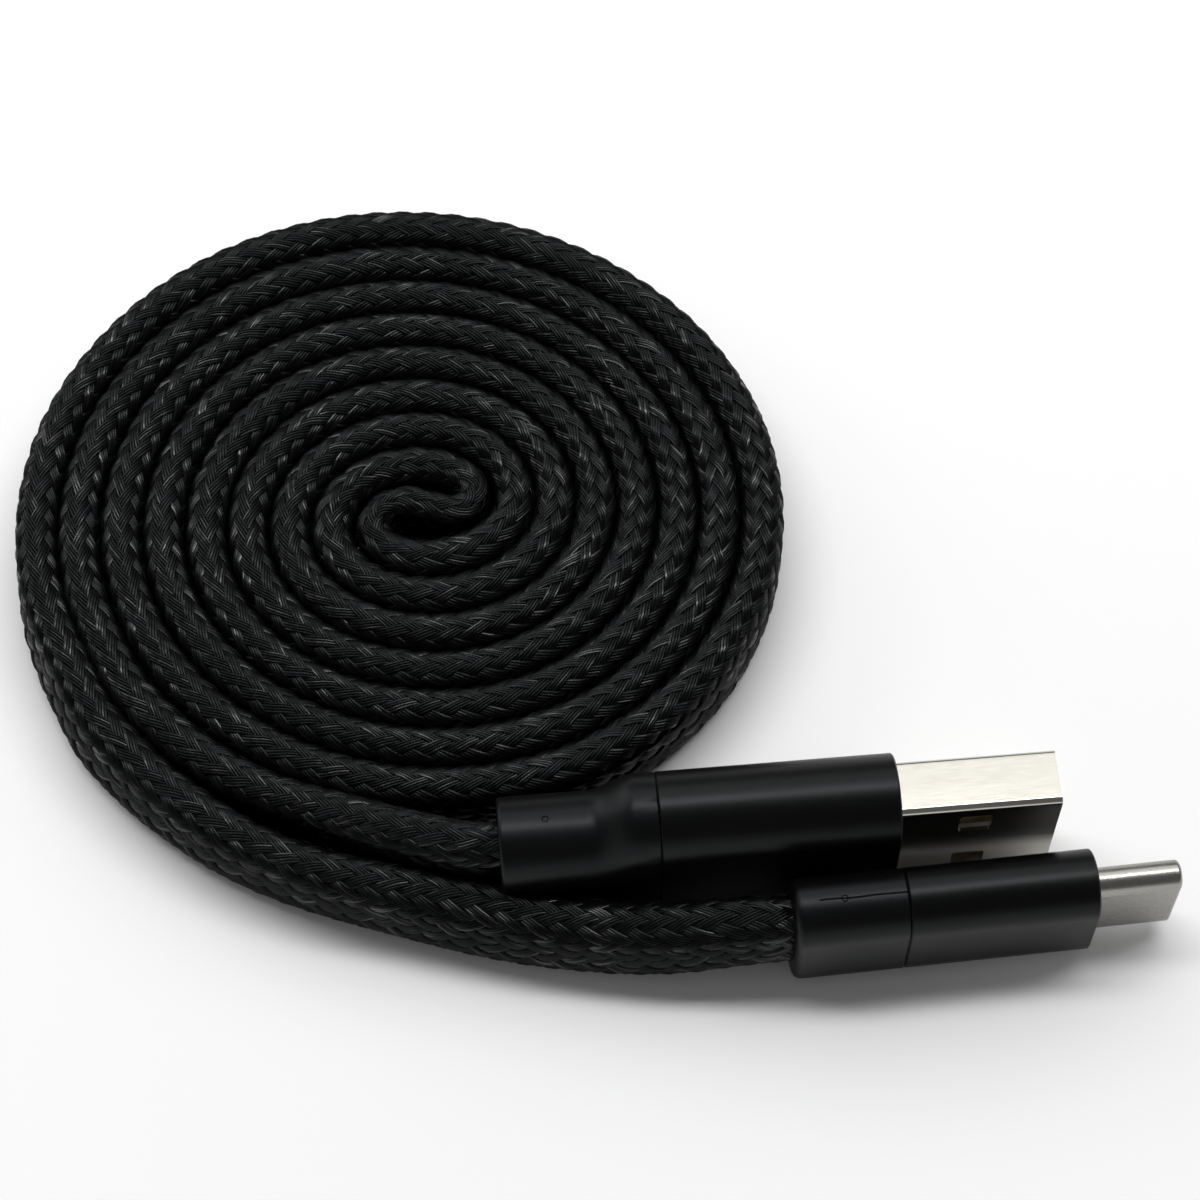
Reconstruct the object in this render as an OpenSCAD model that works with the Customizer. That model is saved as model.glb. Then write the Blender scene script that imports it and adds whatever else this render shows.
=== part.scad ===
// Braided flat charging cable, wound into a two-arm coil, with a USB-A and a USB-C plug.
// Lengths in millimetres.  Every plug is drawn along +X with its tip forward and its flat
// sides upright; the origin of a plug is the centre of the front end of its metal sleeve.

/* [Cable] */
// Width of the flat braided cable, which stands on edge
cable_w = 7.6; // [6.6:0.1:8.4]
// Thickness of the cable
cable_t = 2.65; // [2.2:0.05:2.7]
// Width of the cable where a boot grips it
cable_grip_w = 6.9; // [6.2:0.1:7.4]
// Width of the bevel along each edge of the cable
cable_bevel = 0.9; // [0.6:0.05:1]
// Straight length of cable behind the USB-A boot
a_lead_l = 1.5; // [1:0.1:2.5]
// Straight length of cable behind the USB-C boot
c_lead_l = 4.2; // [3:0.1:5]

/* [Coil] */
// Radius of the outermost pass on the right side
coil_r = 26.95; // [26.8:0.05:30]
// Distance from one strand to the next
strand_pitch = 3.43; // [3.4:0.01:3.6]
// Depth of the coil over its width
coil_oval = 0.973; // [0.97:0.001:1]
// Extra half width of every turn
coil_extra = 1.02; // [0.9:0.02:1.1]
// Centre of the coil
coil_at = [-32.9, 31.67];
// How far the centre moves with each turn outwards
coil_drift = [-0.09, -0.1];
// How far the outermost pass is pressed out of its oval towards the upper left
coil_skew = 0.58; // [0.4:0.02:0.7]
// How much of that each turn further in loses
coil_skew_fade = 0.31; // [0.2:0.01:0.35]

/* [USB-A plug] */
// Centre of the sleeve's front end, in plan
usb_a_at = [4.45, 3.67];
// Turn of the plug, in degrees
usb_a_yaw = 5; // [4:0.1:6]
// How far the sleeve stands out beyond the narrow sides of the shell
a_side_margin = 1.25; // [1.2:0.05:2]
// How far the sleeve stands out beyond the wide sides of the shell
a_flat_margin = 1.5; // [1.45:0.05:2.2]
// Length of the aluminium sleeve
a_sleeve_l = 18.3; // [17:0.1:22]
// Wall of the aluminium sleeve
a_sleeve_wall = 0.35; // [0.3:0.05:0.4]
// Length of the boot's slim rear part
a_boot_slim_l = 6.8; // [5:0.1:12]
// Length of the boot's flare
a_boot_flare_l = 4; // [3:0.1:6]
// Length of the boot's full-size collar
a_boot_collar_l = 1.4; // [1:0.1:4]
// How far the slim part's narrow sides are set in from the full width
a_boot_step_w = 2.22; // [1.6:0.02:2.6]
// How far the slim part's wide sides are set in from the full thickness
a_boot_step_t = 0.13; // [0.05:0.01:0.4]
// Radius of the boot's rear rim
a_boot_rim = 0.4; // [0.2:0.05:0.8]
// Width of the steel shell
a_shell_w = 12; // [11.9:0.05:12.1]
// Thickness of the steel shell
a_shell_t = 4.5; // [4.4:0.05:4.6]
// Sheet of the steel shell
a_shell_wall = 0.3; // [0.2:0.05:0.35]
// Outer corner radius of the shell
a_shell_corner = 0.5; // [0.45:0.05:0.8]
// Length of the shell in front of the sleeve
a_shell_out = 12.3; // [11.5:0.1:13]
// Length of the shell inside the sleeve
a_shell_in = 6.5; // [5:0.1:7.5]
// Length of each latch window, along the plug
window_l = 2.5; // [1.8:0.1:3]
// Width of each latch window
window_w = 2.6; // [1.8:0.1:3]
// Corner radius of each latch window
window_corner = 0.3; // [0.1:0.05:0.5]
// Distance between the centres of the two windows of a side
window_spacing = 6.6; // [5.8:0.1:7.2]
// Distance from the shell's tip to the windows
window_back = 5.2; // [4.6:0.1:5.6]
// Distance from the shell's rear end to the contact block
block_short = 0.2; // [0:0.05:0.5]
// Thickness of the contact tongue
tongue_t = 1.9; // [1.5:0.05:2.1]
// Lead-in along the tongue's tip
tongue_bevel = 0.35; // [0.1:0.05:0.5]
// Distance from the shell's tip back to the tongue's tip
tongue_back = 0.5; // [0.3:0.05:1]
// Distance from the shell's tip back to the floor of the mouth
mouth_deep = 11; // [9.5:0.1:11.5]
// Width of a contact
a_contact_w = 1; // [0.8:0.05:1.2]
// Thickness of a contact
a_contact_t = 0.25; // [0.2:0.01:0.3]
// How far a contact stands out of the tongue
a_contact_proud = 0.06; // [0.03:0.01:0.1]
// Distance between the two inner, data contacts
data_spacing = 2; // [1.9:0.05:2.2]
// Distance between the two outer, power contacts
power_spacing = 7; // [6.9:0.05:7.2]
// Distance from the tongue's tip to a power contact
power_back = 0.7; // [0.5:0.05:1]
// Distance from the tongue's tip to a data contact
data_back = 1.7; // [1.4:0.05:2]
// Length of a contact's dipped nose
nose_l = 0.8; // [0.6:0.05:1]
// Length of the solder cup behind a contact
cup_l = 2.2; // [1.8:0.1:2.6]
// Wall of the solder cup
cup_wall = 0.12; // [0.08:0.01:0.14]
// Distance from the shell's rear end to the solder cups
cup_back = 0.3; // [0.1:0.05:0.6]
// How far a contact's strip and its cup overlap
cup_join = 0.3; // [0.2:0.05:0.5]
// How far a conductor stops short of the cup's front end
wire_short = 0.4; // [0.1:0.05:0.8]

/* [USB-C plug] */
// Centre of the sleeve's front end, in plan
usb_c_at = [19.5, -2.14];
// Turn of the plug, in degrees
usb_c_yaw = 6.4; // [5.5:0.1:7.5]
// How far the sleeve stands out beyond the narrow sides of the shell
c_side_margin = 1.375; // [1.2:0.005:2]
// How far the sleeve stands out beyond the wide sides of the shell
c_flat_margin = 1.6; // [1.4:0.05:2]
// Length of the aluminium sleeve
c_sleeve_l = 14.5; // [13.5:0.1:20]
// Wall of the aluminium sleeve
c_sleeve_wall = 0.4; // [0.3:0.05:0.5]
// Length of the boot behind the sleeve
c_boot_l = 8.7; // [6:0.1:14]
// Radius of the boot's rear rim
c_boot_rim = 0.7; // [0.2:0.05:1]
// Width of the steel shell
c_shell_w = 8.25; // [8.2:0.01:8.3]
// Thickness of the steel shell
c_shell_t = 2.4; // [2.36:0.01:2.44]
// Sheet of the steel shell
c_shell_wall = 0.24; // [0.2:0.01:0.26]
// Outer radius of the shell's rolled nose
c_nose_r = 0.35; // [0.2:0.05:0.4]
// How far the rolled nose turns in at the mouth
c_lip = 0.24; // [0.2:0.01:0.26]
// Length of the rolled nose inside the shell
c_lip_l = 0.45; // [0.4:0.05:0.6]
// Length of the shell in front of the sleeve
c_shell_out = 6.65; // [6.4:0.05:6.8]
// Length of the shell inside the sleeve
c_shell_in = 5; // [4.5:0.1:5.5]
// Width of the mouth in the contact block
mouth_w = 6.8; // [6.7:0.01:6.9]
// Height of the mouth in the contact block
mouth_t = 0.86; // [0.8:0.01:0.9]
// Depth of the mouth in the contact block
mouth_l = 4.8; // [4.4:0.05:5]
// Distance from the shell's rear end to the contact block
c_block_short = 1.4; // [1.2:0.05:1.8]
// Distance from one contact to the next
c_contact_spacing = 0.5; // [0.48:0.01:0.5]
// Width of a contact
c_contact_w = 0.25; // [0.2:0.01:0.3]
// Thickness of a contact
c_contact_t = 0.14; // [0.1:0.01:0.16]
// Distance from the ground springs back to the contacts' tips
c_contact_back = 0.25; // [0.15:0.05:0.5]
// Distance from a contact's tip back to the top of its bow
bow_back = 0.7; // [0.5:0.05:0.9]
// Length of the slope behind the bow
bow_l = 0.8; // [0.6:0.05:1]
// How far the bow stands into the mouth
bow_h = 0.1; // [0.06:0.01:0.12]
// Width of the flat top of the bow
bow_top = 0.2; // [0.1:0.05:0.3]
// How far a contact's tip is bent back
tip_lift = 0.06; // [0.03:0.01:0.08]
// Length of a contact's solder tail on the board
solder_l = 1.6; // [1.4:0.05:2]
// Solder between a contact and the board
solder_t = 0.03; // [0.02:0.005:0.05]
// Sheet of the latch plate
plate_t = 0.16; // [0.12:0.01:0.18]
// Distance from the contact block's rear end to the latch plate
plate_short = 0.2; // [0.1:0.05:0.4]
// Width of a latch arm
latch_w = 0.3; // [0.2:0.01:0.34]
// Depth of a latch arm's hook
hook_h = 0.25; // [0.15:0.01:0.3]
// Length of the flat top of the hook
hook_l = 0.4; // [0.3:0.05:0.5]
// Length of the slope behind the hook
hook_slope = 0.5; // [0.3:0.05:0.6]
// Length of the slope in front of the hook
hook_lead = 0.3; // [0.2:0.05:0.4]
// Distance from the contact block's front end to the latch arms
latch_back = 0.4; // [0.3:0.05:0.6]
// Length of the root where a latch arm leaves its base
latch_root = 0.5; // [0.3:0.05:0.8]
// Depth of that root
latch_root_h = 0.15; // [0.1:0.01:0.2]
// Diameter of the posts that hold the latch plate
post_d = 0.8; // [0.6:0.05:0.9]
// Length of a ground spring, along the plug
spring_l = 1.1; // [0.9:0.05:1.2]
// Sheet of a ground spring
spring_t = 0.1; // [0.08:0.01:0.12]
// Distance from each end of the mouth to a ground spring
spring_in = 0.5; // [0.3:0.05:0.7]
// Distance from the contact block's front end to the ground springs
spring_back = 0.1; // [0.05:0.05:0.2]
// Distance between a ground spring's dimples
dimple_step = 2; // [1.8:0.1:2.2]
// Length of a dimple along the plug
dimple_l = 0.5; // [0.4:0.05:0.6]
// Width of a dimple
dimple_w = 1; // [0.6:0.05:1.2]
// Height of a dimple
dimple_h = 0.04; // [0.03:0.01:0.06]
// Thickness of the board behind the contacts
board_t = 0.6; // [0.5:0.02:0.62]
// Length of the board
board_l = 6; // [5.5:0.1:6.5]
// Width of the board
board_w = 7; // [6.6:0.1:7.2]
// Room above and below the board for what is soldered to it
board_room = 0.5; // [0.45:0.05:0.6]
// How far the conductors lie on the board
c_wire_on = 1.6; // [1.2:0.1:2]
// Distance from one conductor to the next
c_wire_step = 1.6; // [1.4:0.05:1.7]
// Length of the resistor, across the board
resistor_l = 1; // [0.8:0.1:1.6]
// Width of the resistor
resistor_w = 0.5; // [0.4:0.05:0.6]
// Height of the resistor
resistor_h = 0.35; // [0.25:0.05:0.4]
// Distance from the contacts' solder tails to the resistor
resistor_back = 0.8; // [0.5:0.05:1]

/* [Fits] */
// Clearance round a piece that is held in another
fit = 0.05; // [0.03:0.005:0.06]
// Bevel on the ends of the sleeves and at the boots' seams
seam = 0.12; // [0.05:0.01:0.15]
// How far the inner mould lies behind the sleeve's front end
mould_back = 0.4; // [0.2:0.05:0.8]
// Bevel round the inner mould's rear end
mould_bevel = 0.2; // [0.1:0.05:0.4]
// Gap between the inner mould and the boot's spigot
mould_gap = 0.3; // [0.1:0.05:0.6]
// Room behind the solder cups in the inner mould
cup_room = 0.3; // [0.1:0.05:0.6]
// Length of the boot's spigot in the sleeve
spigot_l = 2; // [1.5:0.1:2.4]
// Diameter of an insulated conductor
wire_d = 0.9; // [0.7:0.02:0.94]

/* [Hidden] */
$fn = 48;
eps = 0.01;
cut = 1;                            // how far a cut runs past what it cuts
ring_facet = 7.5;                   // degrees between the points round a lofted body
flare_rings = 12;                   // rings along the flare

a_body_w = a_shell_w + 2 * a_side_margin;
a_body_t = a_shell_t + 2 * a_flat_margin;
c_body_w = c_shell_w + 2 * c_side_margin;
c_body_t = c_shell_t + 2 * c_flat_margin;

// ---- cable: route -------------------------------------------------------------------

ring_step = 15;                     // degrees between rings: 24 rings a loop
coil_end = 210;                     // angle at which both arms leave the coil
c_arm_in = -1245;                   // innermost angle of the arm that ends at USB-C
a_arm_in = -1050;                   // innermost angle of the arm that ends at USB-A
cable_z = cable_w / 2;

// A point of one arm: both arms wind outwards anticlockwise, half a turn of growth apart.
function arm(a, half) =
    let (turns = a / 360 - half / 2, r = coil_r + 2 * strand_pitch * turns,
         skew = -(coil_skew + coil_skew_fade * turns) * sin(2 * a))
    [coil_at.x + coil_drift.x * turns + (r + coil_extra + skew) * cos(a),
     coil_at.y + coil_drift.y * turns + (r * coil_oval + skew) * sin(a), cable_z];

// The S in the middle, where one arm turns into the other.
core = [[-36.4, 31.9], [-35.75, 32.5], [-34.8, 32.85], [-33.55, 32.85], [-32.15, 32.4],
        [-30.8, 31.9], [-29.45, 31.85], [-28.6, 32.45], [-28.3, 33.15]];

coil_route = concat([for (a = [coil_end : -ring_step : c_arm_in]) arm(a, 0)],
                    [for (p = core) [p.x, p.y, cable_z]],
                    [for (a = [a_arm_in : ring_step : coil_end]) arm(a, 1)]);

c_tail_free = [[-58.0, 12.95, 3.8], [-55.8, 10.4, 3.8], [-53.6, 8.15, 3.8], [-51.25, 6.2, 3.8],
               [-48.15, 3.9, 3.8], [-44.85, 2.05, 3.8], [-41.45, 0.55, 3.8], [-38.15, -0.65, 3.8],
               [-34.85, -1.65, 3.8], [-31.45, -2.65, 3.8], [-28.15, -3.55, 3.8], [-23.95, -4.35, 3.8],
               [-19.85, -4.85, 3.8], [-15.85, -5.25, 4.1], [-12.05, -5.45, 4.8]];
a_tail_free = [[-55.7, 15.95, 3.8], [-53.05, 12.95, 3.8], [-50.25, 10.45, 3.8], [-47.45, 8.55, 3.8],
               [-44.35, 6.85, 3.9], [-41.05, 5.4, 4.4], [-37.75, 4.05, 5.2], [-34.65, 2.85, 6.1],
               [-32.15, 2.05, 6.7], [-29.85, 1.35, 7.1]];

// A point on a plug's axis, dx in front of the sleeve's front end.
function on_axis(at, yaw, h, dx) = [at.x + dx * cos(yaw), at.y + dx * sin(yaw), h];

a_boot_l = a_boot_slim_l + a_boot_flare_l + a_boot_collar_l;
a_rear = -a_sleeve_l - a_boot_l;
c_rear = -c_sleeve_l - c_boot_l;

c_tail_route = concat([arm(coil_end, 0)], c_tail_free,
                      [for (i = [1, 0.5, 0])
                       on_axis(usb_c_at, usb_c_yaw, c_body_w / 2, c_rear - i * c_lead_l)]);
a_tail_route = concat([arm(coil_end, 1)], a_tail_free,
                      [for (i = [1, 0.5, 0])
                       on_axis(usb_a_at, usb_a_yaw, a_body_w / 2, a_rear - i * a_lead_l)]);

// ---- cable: swept tube --------------------------------------------------------------

// The cable's section, as [across, up] points: a flat band with bevelled edges.
function section(w) =
    let (x = cable_t / 2, y = w / 2, b = cable_bevel)
    [[x, b * 1.3 - y], [x, y - b * 1.3], [x - b, y], [b - x, y],
     [-x, y - b * 1.3], [-x, b * 1.3 - y], [b - x, -y], [x - b, -y]];

function plan_dir(v) = let (l = norm([v.x, v.y])) [v.x / l, v.y / l];

// Heading at point i of a route; d0 and d1 are the headings at its two ends.
function heading(p, i, d0, d1) =
    i == 0 ? d0 : i == len(p) - 1 ? d1
    : plan_dir(plan_dir(p[i + 1] - p[i]) + plan_dir(p[i] - p[i - 1]));

// A band swept along route p, standing on edge, w0 wide at its start and w1 at its end.
module band(p, d0, d1, w0, w1) {
    n = 8;
    last = len(p) - 1;
    pts = [for (i = [0 : last])
           let (d = heading(p, i, d0, d1), s = section(w0 + (w1 - w0) * i / last))
           for (q = s) [p[i].x + q.x * d.y, p[i].y - q.x * d.x, p[i].z + q.y]];
    sides = [for (i = [0 : last - 1], k = [0 : n - 1])
             let (a = i * n + k, b = i * n + (k + 1) % n)
             each [[a, b, b + n], [a, b + n, a + n]]];
    caps = [for (k = [1 : n - 2]) each [[0, k + 1, k], [last * n, last * n + k, last * n + k + 1]]];
    polyhedron(points = pts, faces = concat(sides, caps), convexity = 10);
}

// Headings where the coil hands over to its two tails, shared by both pieces.
function handover(half, next) =
    plan_dir(plan_dir(next - arm(coil_end, half))
             + plan_dir(arm(coil_end, half) - arm(coil_end - ring_step, half)));
c_handover = handover(0, c_tail_free[0]);
a_handover = handover(1, a_tail_free[0]);

// Least distance from a point to the stretch between two others, all in plan.
function from_stretch(p, a, b) =
    let (v = b - a, t = max(0, min(1, (p - a) * v / (v * v)))) norm(p - a - t * v);

flat_route = [for (p = coil_route) [p.x, p.y]];
coil_gap = min([for (i = [0 : len(flat_route) - 13], j = [i + 11 : len(flat_route) - 2])
                from_stretch(flat_route[i], flat_route[j], flat_route[j + 1])]) - cable_t;
coil_length = [for (i = [1 : len(coil_route) - 1]) norm(coil_route[i] - coil_route[i - 1])]
              * [for (i = [1 : len(coil_route) - 1]) 1];
function length_of(p) = [for (i = [1 : len(p) - 1]) norm(p[i] - p[i - 1])]
                        * [for (i = [1 : len(p) - 1]) 1];
echo(least_gap_of_coil_to_itself = coil_gap);
echo(coil_length = coil_length, tail_a = length_of(a_tail_route), tail_c = length_of(c_tail_route));

// ---- shared shapes ------------------------------------------------------------------

// Sweeps a half profile, drawn with its radius across and its length up, round a stadium
// whose two arc centres lie spread above and below the axis.
module stadium(spread) {
    for (s = [-1, 1]) translate([0, 0, s * spread]) rotate([0, 90, 0]) rotate_extrude() children();
    linear_extrude(2 * spread, center = true)
        for (m = [0, 1]) mirror([0, m]) mirror([1, -1]) children();
}

// Half profile of a plain length from x0 to x1, bevelled b0 and b1 at its ends.
module bar(r, x0, x1, b0 = 0, b1 = 0)
    polygon([[0, x0], [r - b0, x0], [r, x0 + b0], [r, x1 - b1], [r - b1, x1], [0, x1]]);

// Extrudes a flat shape, drawn across and up, from x0 to x1.
module along_x(x0, x1) translate([x0, 0, 0]) rotate([90, 0, 90]) linear_extrude(x1 - x0) children();

// Rectangle with true round corners.
module soft_rect(a, b, r) {
    square([a - 2 * r, b], center = true);
    square([a, b - 2 * r], center = true);
    for (x = [-1, 1], y = [-1, 1]) translate([x * (a / 2 - r), y * (b / 2 - r)]) circle(r);
}

// Box between two corners.
module span(lo, hi) translate(lo) cube(hi - lo);

module at_usb_a() translate([usb_a_at.x, usb_a_at.y, a_body_w / 2]) rotate(usb_a_yaw) children();
module at_usb_c() translate([usb_c_at.x, usb_c_at.y, c_body_w / 2]) rotate(usb_c_yaw) children();

module wire(y, z, x0, x1) translate([x0, y, z]) rotate([0, 90, 0]) cylinder(d = wire_d, h = x1 - x0);
module wire_way(y, z, x0, x1)
    translate([x0, y, z]) rotate([0, 90, 0]) cylinder(d = wire_d + 2 * fit, h = x1 - x0);

// Points of a quarter round from one end of a rim to the other.
function rim(r, x, q) = [for (a = [0 : 15 : 90]) [r - q + q * sin(a), x + q - q * cos(a)]];

// Aluminium sleeve of height w and thickness t.
module sleeve(w, t, l, wall) {
    spread = (w - t) / 2;
    difference() {
        stadium(spread) bar(t / 2, -l, 0, seam, seam);
        stadium(spread) bar(t / 2 - wall, -l - cut, cut);
    }
}

// ---- cable --------------------------------------------------------------------------

module cable_coil() color([0.13, 0.13, 0.135])
    band(coil_route, -c_handover, a_handover, cable_w, cable_w);
module cable_tail_usb_a() color([0.14, 0.14, 0.145])
    band(a_tail_route, a_handover, [cos(usb_a_yaw), sin(usb_a_yaw)], cable_w, cable_grip_w);
module cable_tail_usb_c() color([0.15, 0.15, 0.155])
    band(c_tail_route, c_handover, [cos(usb_c_yaw), sin(usb_c_yaw)], cable_w, cable_grip_w);

// ---- USB-A plug ---------------------------------------------------------------------

a_spread = (a_body_w - a_body_t) / 2;
a_bore_r = a_body_t / 2 - a_sleeve_wall;
a_in_w = a_shell_w - 2 * a_shell_wall;
a_in_t = a_shell_t - 2 * a_shell_wall;
a_in_corner = max(a_shell_corner - a_shell_wall, 0.1);
a_floor = a_shell_out - mouth_deep;
tongue_tip = a_shell_out - tongue_back;
tongue_back_y = a_in_t / 2 - fit;
tongue_face = tongue_back_y - tongue_t;
block_rear = -a_shell_in + block_short;
cup_r = wire_d / 2 + fit + cup_wall;
cup_y = tongue_face - a_contact_proud + a_contact_t - cup_r;
cup_front = -a_shell_in - cup_back;
cup_rear = cup_front - cup_l;
a_mould_rear = -a_sleeve_l + spigot_l + mould_gap;

module usb_a_shell() color([0.78, 0.78, 0.77]) at_usb_a() difference() {
    along_x(-a_shell_in, a_shell_out) soft_rect(a_shell_t, a_shell_w, a_shell_corner);
    along_x(-a_shell_in - cut, a_shell_out + cut) soft_rect(a_in_t, a_in_w, a_in_corner);
    for (z = [-1, 1]) translate([a_shell_out - window_back - window_l / 2, 0, z * window_spacing / 2])
        rotate([90, 0, 0]) linear_extrude(a_shell_t + 2 * cut, center = true)
            soft_rect(window_l, window_w, window_corner);
}

module usb_a_tongue() color([0.86, 0.86, 0.84]) at_usb_a() difference() {
    intersection() {
        along_x(block_rear, tongue_tip) soft_rect(a_in_t - 2 * fit, a_in_w - 2 * fit, a_in_corner);
        union() {
            span([block_rear - cut, tongue_face, -a_shell_w], [tongue_tip + cut, a_shell_t, a_shell_w]);
            span([block_rear - cut, -a_shell_t, -a_shell_w], [a_floor, a_shell_t, a_shell_w]);
        }
    }
    for (z = [-1, 1]) {
        contact_way(z * power_spacing / 2, tongue_tip - power_back);
        contact_way(z * data_spacing / 2, tongue_tip - data_back);
    }
    translate([tongue_tip, tongue_face, 0]) rotate(45)
        cube([tongue_bevel * sqrt(2), tongue_bevel * sqrt(2), a_shell_w], center = true);
}

// Groove and passage for one contact, clear of it all round.
module contact_way(z, tip)
    span([block_rear - cut, tongue_face - a_contact_proud - fit, z - a_contact_w / 2 - fit],
         [tip + fit, tongue_face - a_contact_proud + a_contact_t + fit, z + a_contact_w / 2 + fit]);

// One stamped contact: a strip with a dipped nose and a solder cup.
module usb_a_contact(z, tip) {
    y0 = tongue_face - a_contact_proud;
    y1 = y0 + a_contact_t;
    translate([0, 0, z]) {
        linear_extrude(a_contact_w, center = true)
            polygon([[cup_front - cup_join, y0], [tip - nose_l, y0],
                     [tip - 0.4 * nose_l, y0 + 0.12 * a_contact_t],
                     [tip, y0 + 0.6 * a_contact_t], [tip, y1], [cup_front - cup_join, y1]]);
        translate([cup_rear, cup_y, 0]) rotate([0, 90, 0]) difference() {
            cylinder(r = cup_r, h = cup_l);
            translate([0, 0, -cut]) cylinder(r = cup_r - cup_wall, h = cup_l + 2 * cut);
            span([-cup_r - cut, -cup_r - cut, -cut], [cup_r + cut, 0, cup_l + cut]);
        }
    }
}

module usb_a_power_contacts() color([0.85, 0.7, 0.35]) at_usb_a()
    for (z = [-1, 1]) usb_a_contact(z * power_spacing / 2, tongue_tip - power_back);
module usb_a_data_contacts() color([0.85, 0.7, 0.35]) at_usb_a()
    for (z = [-1, 1]) usb_a_contact(z * data_spacing / 2, tongue_tip - data_back);

a_wire_z = [-power_spacing / 2, -data_spacing / 2, data_spacing / 2, power_spacing / 2];

module usb_a_wires() color([0.75, 0.1, 0.1]) at_usb_a()
    for (z = a_wire_z) wire(cup_y, z, a_mould_rear, cup_front - wire_short);

module usb_a_inner_mould() color([0.09, 0.09, 0.09]) at_usb_a() difference() {
    stadium(a_spread) bar(a_bore_r - fit, a_mould_rear, -mould_back, mould_bevel, 0);
    along_x(-a_shell_in - fit, cut)
        soft_rect(a_shell_t + 2 * fit, a_shell_w + 2 * fit, a_shell_corner + fit);
    span([cup_rear - cup_room, cup_y - cup_r, -power_spacing / 2 - cup_r - fit],
         [cut - a_shell_in, cup_y + cup_r + fit, power_spacing / 2 + cup_r + fit]);
    for (z = a_wire_z) wire_way(cup_y, z, a_mould_rear - cut, cup_rear);
}

module usb_a_sleeve() color([0.1, 0.1, 0.105]) at_usb_a()
    sleeve(a_body_w, a_body_t, a_sleeve_l, a_sleeve_wall);

// Outline of a plug's body, as points [thickness, width] with round narrow sides of radius r
// whose centres lie spread above and below the axis.
function ring(r, spread) =
    [for (a = [0 : ring_facet : 360 - ring_facet])
     each a == 0 || a == 180 ? [[r * cos(a), -spread * cos(a)], [r * cos(a), spread * cos(a)]]
          : [[r * cos(a), r * sin(a) + spread * sign(sin(a))]]];

// Skin through a row of stations [x, r, spread], from the rear to the front.
module loft(stations) {
    rings = [for (q = stations) [for (e = ring(q[1], q[2])) [q[0], e.x, e.y]]];
    n = len(rings[0]);
    last = len(rings) - 1;
    sides = [for (i = [0 : last - 1], k = [0 : n - 1])
             let (a = i * n + k, b = i * n + (k + 1) % n)
             each [[a, b + n, b], [a, a + n, b + n]]];
    rear = [for (k = [0 : n - 1]) k];
    front = [for (k = [n - 1 : -1 : 0]) last * n + k];
    polyhedron(points = [for (g = rings) each g], faces = concat(sides, [rear, front]), convexity = 4);
}

// The slim part is a flat oval of its own, so the flare widens far more than it thickens.
module usb_a_boot() color([0.11, 0.11, 0.11]) at_usb_a() {
    r = a_body_t / 2;
    slim = r - a_boot_step_t;
    slim_spread = a_body_w / 2 - a_boot_step_w - slim;
    flare_x = a_rear + a_boot_slim_l;
    loft(concat(
        [for (q = rim(slim, a_rear, a_boot_rim)) [q[1], q[0], slim_spread]],
        [for (t = [0 : 1 / flare_rings : 1])
         let (s = (1 - cos(180 * t)) / 2)
         [flare_x + a_boot_flare_l * t, slim + (r - slim) * s,
          slim_spread + (a_spread - slim_spread) * s]],
        [[-a_sleeve_l - seam, r, a_spread], [-a_sleeve_l, r - seam, a_spread]]));
    stadium(a_spread) bar(a_bore_r - fit, -a_sleeve_l - a_boot_collar_l / 2, -a_sleeve_l + spigot_l);
}

// ---- USB-C plug ---------------------------------------------------------------------

c_spread = (c_body_w - c_body_t) / 2;
c_bore_r = c_body_t / 2 - c_sleeve_wall;
c_shell_r = c_shell_t / 2;
c_shell_spread = (c_shell_w - c_shell_t) / 2;
c_in_r = c_shell_r - c_shell_wall;
block_r = c_in_r - fit;
block_front = c_shell_out - c_lip_l - fit;
c_block_rear = -c_shell_in + c_block_short;
mouth_floor = block_front - mouth_l;
contact_y = board_t / 2 + solder_t;
c_contact_tip = block_front - spring_l - c_contact_back;
board_front = c_block_rear - fit;
board_rear = board_front - board_l;
c_mould_rear = -c_sleeve_l + spigot_l + mould_gap;
c_wire_y = board_t / 2 + wire_d / 2 + fit / 2;
c_wire_z = [for (i = [-1.5 : 1.5]) i * c_wire_step];
latch_z = c_shell_spread + c_in_r - fit - latch_w;
latch_tip = block_front - latch_back;
hook_top = latch_tip - hook_lead;
plate_rear = c_block_rear + plate_short;
post_x = (plate_rear + mouth_floor) / 2;
post_z = mouth_w / 4;

// Positions, from 1 to 12, that a cable of this kind fills in each row.
upper_row = [1, 4, 5, 6, 7, 9, 12];
lower_row = [1, 4, 9, 12];
function row_z(i) = (i - 6.5) * c_contact_spacing;

module usb_c_shell() color([0.8, 0.8, 0.79]) at_usb_c() difference() {
    stadium(c_shell_spread) polygon(concat(
        [[0, -c_shell_in], [c_shell_r, -c_shell_in]],
        [for (a = [0 : 15 : 90]) [c_shell_r - c_nose_r * (1 - cos(a)),
                                  c_shell_out - c_nose_r * (1 - sin(a))]],
        [[0, c_shell_out]]));
    stadium(c_shell_spread) polygon(concat(
        [[0, -c_shell_in - cut], [c_in_r, -c_shell_in - cut]],
        [for (a = [0 : 15 : 90]) [c_in_r - c_lip * (1 - cos(a)),
                                  c_shell_out - c_lip_l + 0.6 * c_lip_l * sin(a)]],
        [[c_in_r - c_lip, c_shell_out + cut], [0, c_shell_out + cut]]));
}

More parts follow.
